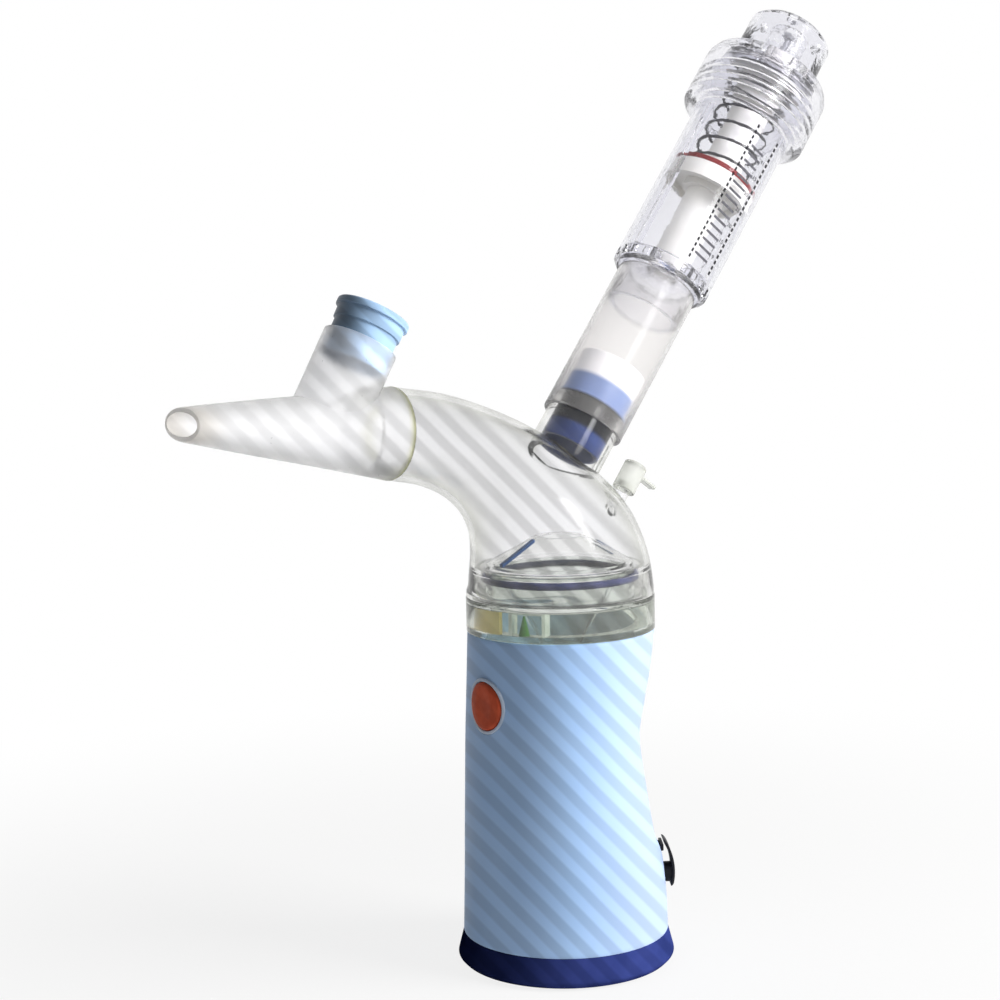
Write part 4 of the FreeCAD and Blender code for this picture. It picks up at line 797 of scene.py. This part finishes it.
def trainer_collar():
    low, high = 131.0, 146.6
    wall = [(COLLAR_BORE + (0.0 if step in (0, THREAD_STEPS) else 0.001),
             low + (high - low) * step / THREAD_STEPS)
            for step in range(THREAD_STEPS + 1)]

    def threaded(x, y, height):
        radius = math.hypot(x, y)
        if low < height < high and 18.4 < radius < 19:
            turn = math.atan2(y, x) / ROUND
            share = (height / THREAD_PITCH - turn) % 1.0
            ridge = max(0.0, 1 - abs(share - 0.5) * 3.2)
            fade = min(1.0, (height - low) / 1.5, (high - height) / 1.5)
            swell = 1 + THREAD_DEPTH * ridge * fade / radius
            return x * swell, y * swell, height
        return x, y, height
    outline = eased([
        (COLLAR_BORE, 129, 0.5), (21.4, 129, 1.4), (24, 131.2, 1.6), (24, 150, 2.2), (22.5, 153.4, 2.2),
        (19, 155, 1.2), (5.08, 155, 0.2), (5.08, 152.6, 0.2), (14, 152.6, 0.3), (14, 151.1, 0.2),
        (COLLAR_BORE, 151.1, 0.3)], parts=4)
    collar = turned("trainer_collar", outline + wall[::-1], TRAINER, 120, threaded)
    hole_ring(collar, 6, 2.2, 9.9, 151.4, 156.4, TRAINER)
    fitted(collar, trainer_clear, "trainer", ["collar"], 30)


def red_band():
    """The red ring on the carrier, notched for the case's two keys."""
    top = 105.4
    band = turned("red_band", eased([(13.2, top + 0.02), (15.45, top + 0.02, 0), (15.45, top - 0.7, 0.1),
                                     (15.56, top - 0.7, 0.1), (15.56, top + 1.2, 0.2),
                                     (13.2, top + 1.2, 0.2)]), UPRIGHT, 96)
    for side in (1, -1):
        carved(band, "DIFFERENCE", block("notch", (2.6, 3.4, 5), (0, side * 15.65, top), 0))
    band.data.transform(TRAINER)
    fitted(band, ring_red, "nut", ["indicator_ring"], 30)


def trainer_knob():
    knob = turned("trainer_knob", eased([
        (14, 155.3, 0.2), (15.8, 155.3, 0.4), (15.8, 171.6, 0.6), (13.8, 173.6, 1.0), (2.7, 173.6, 0.3),
        (2.7, 170, 0.2), (1.35, 170, 0.1), (1.35, 161.1, 0.1), (5.03, 161.1, 0.1), (5.03, 155.3, 0.2),
        (7.4, 155.3, 0.4), (7.4, 171.6, 0.4), (14, 171.6, 0.4)]), TRAINER, 96)
    hole_ring(knob, 4, 2.2, 11.2, 169.6, 175.6, TRAINER, start=0.5)
    fitted(knob, trainer_clear, "screw", ["knob"], 30)


def white_spindle():
    core = turned("white_spindle", eased([
        (0, 62.55), (3, 62.55, 0.3), (3, 66.1, 0.1), (6.5, 66.1, 0.6), (6.5, 152.4, 0.5), (5, 152.4, 0.1),
        (5, 161, 0.4), (1.3, 161, 0.2), (1.3, 153, 0), (0, 153, 0)]), TRAINER, 64)
    fitted(core, core_white, "screw", ["spindle"])
    screw = turned("knob_screw_head", eased([
        (0, 153.5), (1.25, 153.5, 0.2), (1.25, 170.05, 0), (2.5, 170.05, 0.1), (2.5, 172, 0.5), (0, 172)]),
        TRAINER, 32)
    carved(screw, "DIFFERENCE", block("slot_one", (3.2, 0.7, 1.4), (0, 0, 172), 0, TRAINER),
           block("slot_two", (0.7, 3.2, 1.4), (0, 0, 172), 0, TRAINER))
    fitted(screw, screw_steel, "screw", ["knob_screw"])


def coil_rings(low, high, radius, wire, turns, steps):
    """The rings of a compression spring's wire, with a closed turn at each end."""
    rings, around, closed = [], 10, 2.2 * wire
    for step in range(steps + 1):
        turn = step / steps * turns
        climb = min(max((turn - 1) / (turns - 2), 0.0), 1.0)
        height = low + wire + closed * (min(turn, 1.0) + max(turn - turns + 1, 0.0))
        height += (high - low - 2 * wire - 2 * closed) * climb
        angle = ROUND * turn
        ring = []
        for part in range(around):
            swing = ROUND * part / around
            out = radius + wire * math.cos(swing)
            ring.append((out * math.cos(angle), out * math.sin(angle), height + wire * math.sin(swing)))
        rings.append(ring)
    return rings


def wire_skin(name, rings, place):
    """A length of wire from its rings."""
    made = wrapped(name, capped(rings))
    made.data.transform(place)
    return made


def load_spring():
    """The trainer's spring: the lower coils follow the carrier, and the upper ones give way to the poppet."""
    low, high, parting = 102.15, 145.75, 190
    rings = coil_rings(low, high, 11.0, 0.55, 7.5, 300)
    lower = wire_skin("load_spring_lower", rings[:parting + 1], TRAINER)
    fitted(lower, spring_wire, None, ["trainer_spring"])
    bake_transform(lower)
    upper = wire_skin("load_spring_upper", rings[parting:], TRAINER)
    fitted(upper, spring_wire, "trainer")
    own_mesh(upper)


def press_spring():
    """The spring behind the button, which shortens as the button goes in."""
    low, high = 21.05, 27.5
    spring = wire_skin("press_spring", coil_rings(low, high, 5.3, 0.35, 4.5, 200), BUTTON)
    fitted(spring, spring_wire, "handle", ["button_spring"])
    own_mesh(spring)


# Repeated marks

def sized_tree(name, *given):
    """An empty tree with named inputs for its sizes and one mesh as its result."""
    tree = bpy.data.node_groups.new(name, "GeometryNodeTree")
    for label, kind, value in given:
        socket = tree.interface.new_socket(name=label, in_out="INPUT", socket_type="NodeSocket" + kind)
        socket.default_value = value
    tree.interface.new_socket(name="Geometry", in_out="OUTPUT", socket_type="NodeSocketGeometry")
    return tree, tree.nodes.new("NodeGroupInput"), tree.nodes.new("NodeGroupOutput")


def row_tree(name, finish):
    """Small blocks in a row along Z: named inputs give their number, pitch and size."""
    tree, entry, result = sized_tree(name, ("Count", "Int", 16), ("Pitch", "Float", 3.0),
                                     ("Size", "Vector", (0.1, 4.0, 0.3)))
    line = tree.nodes.new("GeometryNodeMeshLine")
    line.mode = "OFFSET"
    offset = tree.nodes.new("ShaderNodeCombineXYZ")
    tree.links.new(entry.outputs["Count"], line.inputs["Count"])
    tree.links.new(entry.outputs["Pitch"], offset.inputs["Z"])
    tree.links.new(offset.outputs[0], line.inputs["Offset"])
    mark = tree.nodes.new("GeometryNodeMeshCube")
    tree.links.new(entry.outputs["Size"], mark.inputs["Size"])
    copies = tree.nodes.new("GeometryNodeInstanceOnPoints")
    tree.links.new(line.outputs["Mesh"], copies.inputs["Points"])
    tree.links.new(mark.outputs["Mesh"], copies.inputs["Instance"])
    return finished_tree(tree, copies.outputs[0], result, finish)


def ring_tree(name, finish):
    """Small blocks round a circle: named inputs give their number, radius, height and size."""
    tree, entry, result = sized_tree(name, ("Count", "Int", 24), ("Radius", "Float", 17.0),
                                     ("Height", "Float", 60.0), ("Size", "Vector", (1.0, 1.0, 3.0)))
    circle = tree.nodes.new("GeometryNodeMeshCircle")
    tree.links.new(entry.outputs["Count"], circle.inputs["Vertices"])
    tree.links.new(entry.outputs["Radius"], circle.inputs["Radius"])
    lift = tree.nodes.new("ShaderNodeCombineXYZ")
    tree.links.new(entry.outputs["Height"], lift.inputs["Z"])
    raised = tree.nodes.new("GeometryNodeTransform")
    tree.links.new(circle.outputs[0], raised.inputs["Geometry"])
    tree.links.new(lift.outputs[0], raised.inputs["Translation"])
    place = tree.nodes.new("GeometryNodeInputPosition")
    flat = tree.nodes.new("ShaderNodeVectorMath")
    flat.operation = "MULTIPLY"
    flat.inputs[1].default_value = (1, 1, 0)
    tree.links.new(place.outputs[0], flat.inputs[0])
    facing = tree.nodes.new("FunctionNodeAlignEulerToVector")
    facing.axis = "X"
    facing.pivot_axis = "Z"
    tree.links.new(flat.outputs[0], facing.inputs["Vector"])
    mark = tree.nodes.new("GeometryNodeMeshCube")
    tree.links.new(entry.outputs["Size"], mark.inputs["Size"])
    copies = tree.nodes.new("GeometryNodeInstanceOnPoints")
    tree.links.new(raised.outputs[0], copies.inputs["Points"])
    tree.links.new(mark.outputs["Mesh"], copies.inputs["Instance"])
    tree.links.new(facing.outputs[0], copies.inputs["Rotation"])
    return finished_tree(tree, copies.outputs[0], result, finish)


def finished_tree(tree, geometry, result, finish):
    """A tree that ends in real meshes with their material."""
    real = tree.nodes.new("GeometryNodeRealizeInstances")
    tree.links.new(geometry, real.inputs[0])
    coat = tree.nodes.new("GeometryNodeSetMaterial")
    coat.inputs["Material"].default_value = finish
    tree.links.new(real.outputs[0], coat.inputs["Geometry"])
    tree.links.new(coat.outputs[0], result.inputs["Geometry"])
    return tree


def grown(name, tree, place, **sizes):
    """A plain mesh from a tree, with the tree's inputs set by name."""
    made = bpy.data.objects.new(name, bpy.data.meshes.new(name))
    bpy.context.scene.collection.objects.link(made)
    modifier = made.modifiers.new("repeat", "NODES")
    modifier.node_group = tree
    for item in tree.interface.items_tree:
        if item.in_out == "INPUT" and item.name in sizes:
            modifier[item.identifier] = sizes[item.name]
    settled(made)
    made.data.transform(place)
    return made


def scale_marks():
    """Ticks, dashed rails and numbers printed on the flat side of the case."""
    ticks = row_tree("scale_row", ink)
    side = TRAINER @ Matrix.Translation((CASE_FLAT + 0.04, 0, 0))
    lines = grown("scale_lines", row_tree("tick_row", grey_ink), side @ Matrix.Translation((0, -0.9, 71)),
                  Count=16, Pitch=3.1, Size=(0.08, 6.8, 0.95))
    fitted(lines, grey_ink, "trainer")
    parts = [grown(name, ticks, side @ Matrix.Translation((0, aside, 68.5)), Count=25, Pitch=2.35,
                   Size=(0.08, 0.85, 1.4)) for name, aside in (("rail_left", -5.6), ("rail_right", 5.6))]
    upright = Matrix(((0, 0, 1, 0), (1, 0, 0, 0), (0, 1, 0, 0), (0, 0, 0, 1)))
    for index, value in enumerate((9, 15, 20, 25, 30, 35, 41)):
        curve = bpy.data.curves.new("number", "FONT")
        curve.body = str(value)
        curve.size = 2.2
        curve.extrude = 0.04
        curve.align_x = "CENTER"
        curve.align_y = "CENTER"
        text = bpy.data.objects.new("number", curve)
        bpy.context.scene.collection.objects.link(text)
        graph = bpy.context.evaluated_depsgraph_get()
        mesh = bpy.data.meshes.new_from_object(text.evaluated_get(graph), depsgraph=graph)
        bpy.data.objects.remove(text)
        number = bpy.data.objects.new("number", mesh)
        bpy.context.scene.collection.objects.link(number)
        mesh.transform(side @ Matrix.Translation((0, 3.6, 74 + index * 6.9)) @ upright)
        parts.append(number)
    marks = merged(parts[0], *parts[1:])
    fitted(marks, ink, "trainer")


# Solids that keep their shape

KEPT = {
    "foot_pad": foot_rubber, "base_screws": screw_steel, "chassis": frame_grey, "battery_cells": cell_wrap,
    "cell_straps": nickel, "circuit_board": board_green, "board_screws": screw_steel,
    "driver_chip": chip_black, "coil": chip_black, "capacitors": can_metal, "pin_header": header_white,
    "switch_board": board_green, "tact_switch": chip_black, "power_socket": black_plastic,
    "socket_pin": nickel, "seal_ring": navy_rubber, "transducer": ceramic_disc, "transducer_seal": seal_black,
    "guard_ribs": rib_navy, "amber_screen": amber_tint, "gauge_frame": gauge_clear, "level_drop": drop_green,
    "gauge_led": lamp_tint, "side_valve_disc": silicone, "inlet_valve_disc": silicone,
    "foot_bearing": trainer_clear, "carrier": core_white, "indicator_ring": ring_red, "poppet": core_white,
    "poppet_seal": seal_black, "valve_seat": trainer_clear, }


def finish_kept_solids():
    """Give each solid that stays its own material."""
    for node, finish in KEPT.items():
        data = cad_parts[node].data
        if not data.materials:
            data.materials.append(finish)
        for index in range(len(data.materials)):
            data.materials[index] = finish


# Studio

AMBIENT = 0.09
FLOOR_REACH = 2.5
LAMPS = [
    ("key_lamp", 71, 0.82, 0.53, (0.5, 0.5), 14.4, (1.0, 0.99, 0.97), (0, 0, 0.15), (0, 0, 1)),
    ("front_lamp", 20, 0.95, 0.6, (0.5, 0.5), 0.35, (0.97, 0.98, 1.0), (0, 0, 0.15), (0, 0, 1)),
    ("streak_lamp", 52.7, 0.70, 0.587, (0.22, 0.45), 0.10, (1.0, 1.0, 1.0), (0, 0.076, 0.279), LEAN),
]


def white_rays(tree):
    """One for each ray that meets the studio's white: from the camera, off gloss or through clear plastic."""
    path = put(tree, "LightPath")
    seen = put(tree, "Math", {0: path.outputs["Is Camera Ray"], 1: path.outputs["Is Glossy Ray"]},
               operation="ADD")
    seen = put(tree, "Math", {0: seen.outputs[0], 1: path.outputs["Is Transmission Ray"]}, operation="ADD",
               use_clamp=True)
    return seen.outputs[0]


def white_world():
    """White where it is seen, and a low even light on the object."""
    world = bpy.data.worlds.new("white_studio")
    bpy.context.scene.world = world
    world.use_nodes = True
    tree = world.node_tree
    tree.nodes.clear()
    ambient = put(tree, "Background", {"Color": (0.95, 0.97, 1.0, 1.0), "Strength": AMBIENT})
    white = put(tree, "Background", {"Color": (1.0, 1.0, 1.0, 1.0), "Strength": 1.0})
    mixed = put(tree, "MixShader", {0: white_rays(tree), 1: ambient.outputs[0], 2: white.outputs[0]})
    result = put(tree, "OutputWorld")
    tree.links.new(mixed.outputs[0], result.inputs["Surface"])


def pale_floor():
    """A pale floor that keeps the object's shadow and turns white away from it."""
    reach = FLOOR_REACH
    mesh = bpy.data.meshes.new("studio_floor")
    mesh.from_pydata([(-reach, -reach, 0), (reach, -reach, 0), (reach, reach, 0), (-reach, reach, 0)], [],
                     [(0, 1, 2, 3)])
    floor = bpy.data.objects.new("studio_floor", mesh)
    bpy.context.scene.collection.objects.link(floor)
    made, tree, shader, output = blank("floor_white")
    place = put(tree, "TexCoord").outputs["Object"]
    distance = put(tree, "VectorMath", {0: place}, operation="LENGTH").outputs["Value"]
    paper = put(tree, "TexNoise", {"Vector": place, "Scale": 900.0, "Detail": 3.0})
    tree.links.new(shade(tree, paper.outputs["Fac"], (0.72, 0.72, 0.72), (0.76, 0.76, 0.76)),
                   shader.inputs["Base Color"])
    shader.inputs["Roughness"].default_value = 0.8
    share = put(tree, "MapRange", {"Value": distance, "From Min": 0.12, "From Max": 0.45, "To Min": 0.84,
                                   "To Max": 1.0},
                interpolation_type="SMOOTHSTEP")
    share = put(tree, "Math", {0: share.outputs["Result"], 1: white_rays(tree)}, operation="MULTIPLY")
    glow = put(tree, "Emission", {"Color": (1.0, 1.0, 1.0, 1.0), "Strength": 1.0})
    mixed = put(tree, "MixShader", {0: share.outputs[0], 1: shader.outputs[0], 2: glow.outputs[0]})
    tree.links.new(mixed.outputs[0], output.inputs["Surface"])
    mesh.materials.append(made)


def studio_lamps():
    """A large key from the right, a weak front fill, and a narrow lamp that only gloss shows."""
    for name, turn, away, up, sizes, power, colour, target, along in LAMPS:
        light = bpy.data.lights.new(name, "AREA")
        light.shape = "RECTANGLE"
        light.size, light.size_y = sizes
        light.energy = power
        light.color = colour
        lamp = bpy.data.objects.new(name, light)
        bpy.context.scene.collection.objects.link(lamp)
        angle = math.radians(turn)
        place = SIGHT_RIGHT * away * math.sin(angle) + SIGHT_TOWARD * away * math.cos(angle)
        place += Vector((0, 0, up))
        back = (place - Vector(target)).normalized()
        side = Vector(along).cross(back).normalized()
        tall = back.cross(side)
        lamp.matrix_world = Matrix([(side[axis], tall[axis], back[axis], place[axis]) for axis in range(3)]
                                   + [(0, 0, 0, 1)])
        light.spread = math.radians(26) if name == "streak_lamp" else math.pi
        lamp.visible_diffuse = name != "streak_lamp"
        lamp.visible_transmission = name != "key_lamp"
        lamp.visible_glossy = name == "streak_lamp"


SENSOR, LENS = 36, 75.43


def camera():
    """The photograph's viewpoint: a long lens, a little above the middle, with a slight roll."""
    lens = bpy.data.cameras.new("photo_camera")
    lens.sensor_width = SENSOR
    lens.lens = LENS
    made = bpy.data.objects.new("photo_camera", lens)
    bpy.context.scene.collection.objects.link(made)
    made.matrix_world = Matrix([(PICTURE_RIGHT[axis], PICTURE_UP[axis], -SIGHT_AHEAD[axis], EYE[axis])
                                for axis in range(3)] + [(0, 0, 0, 1)])
    bpy.context.scene.camera = made


bpy.context.scene.view_settings.view_transform = "Standard"
camera()
white_world()
pale_floor()
studio_lamps()
finish_kept_solids()
navy_base()
blue_sleeve()
orange_button()
socket_cover()
water_chamber()
clear_dome()
small_cap()
mouthpiece()
side_valve()
inlet_valve()
mouth_tube()
trainer_case()
trainer_collar()
red_band()
trainer_knob()
white_spindle()
load_spring()
press_spring()
scale_marks()
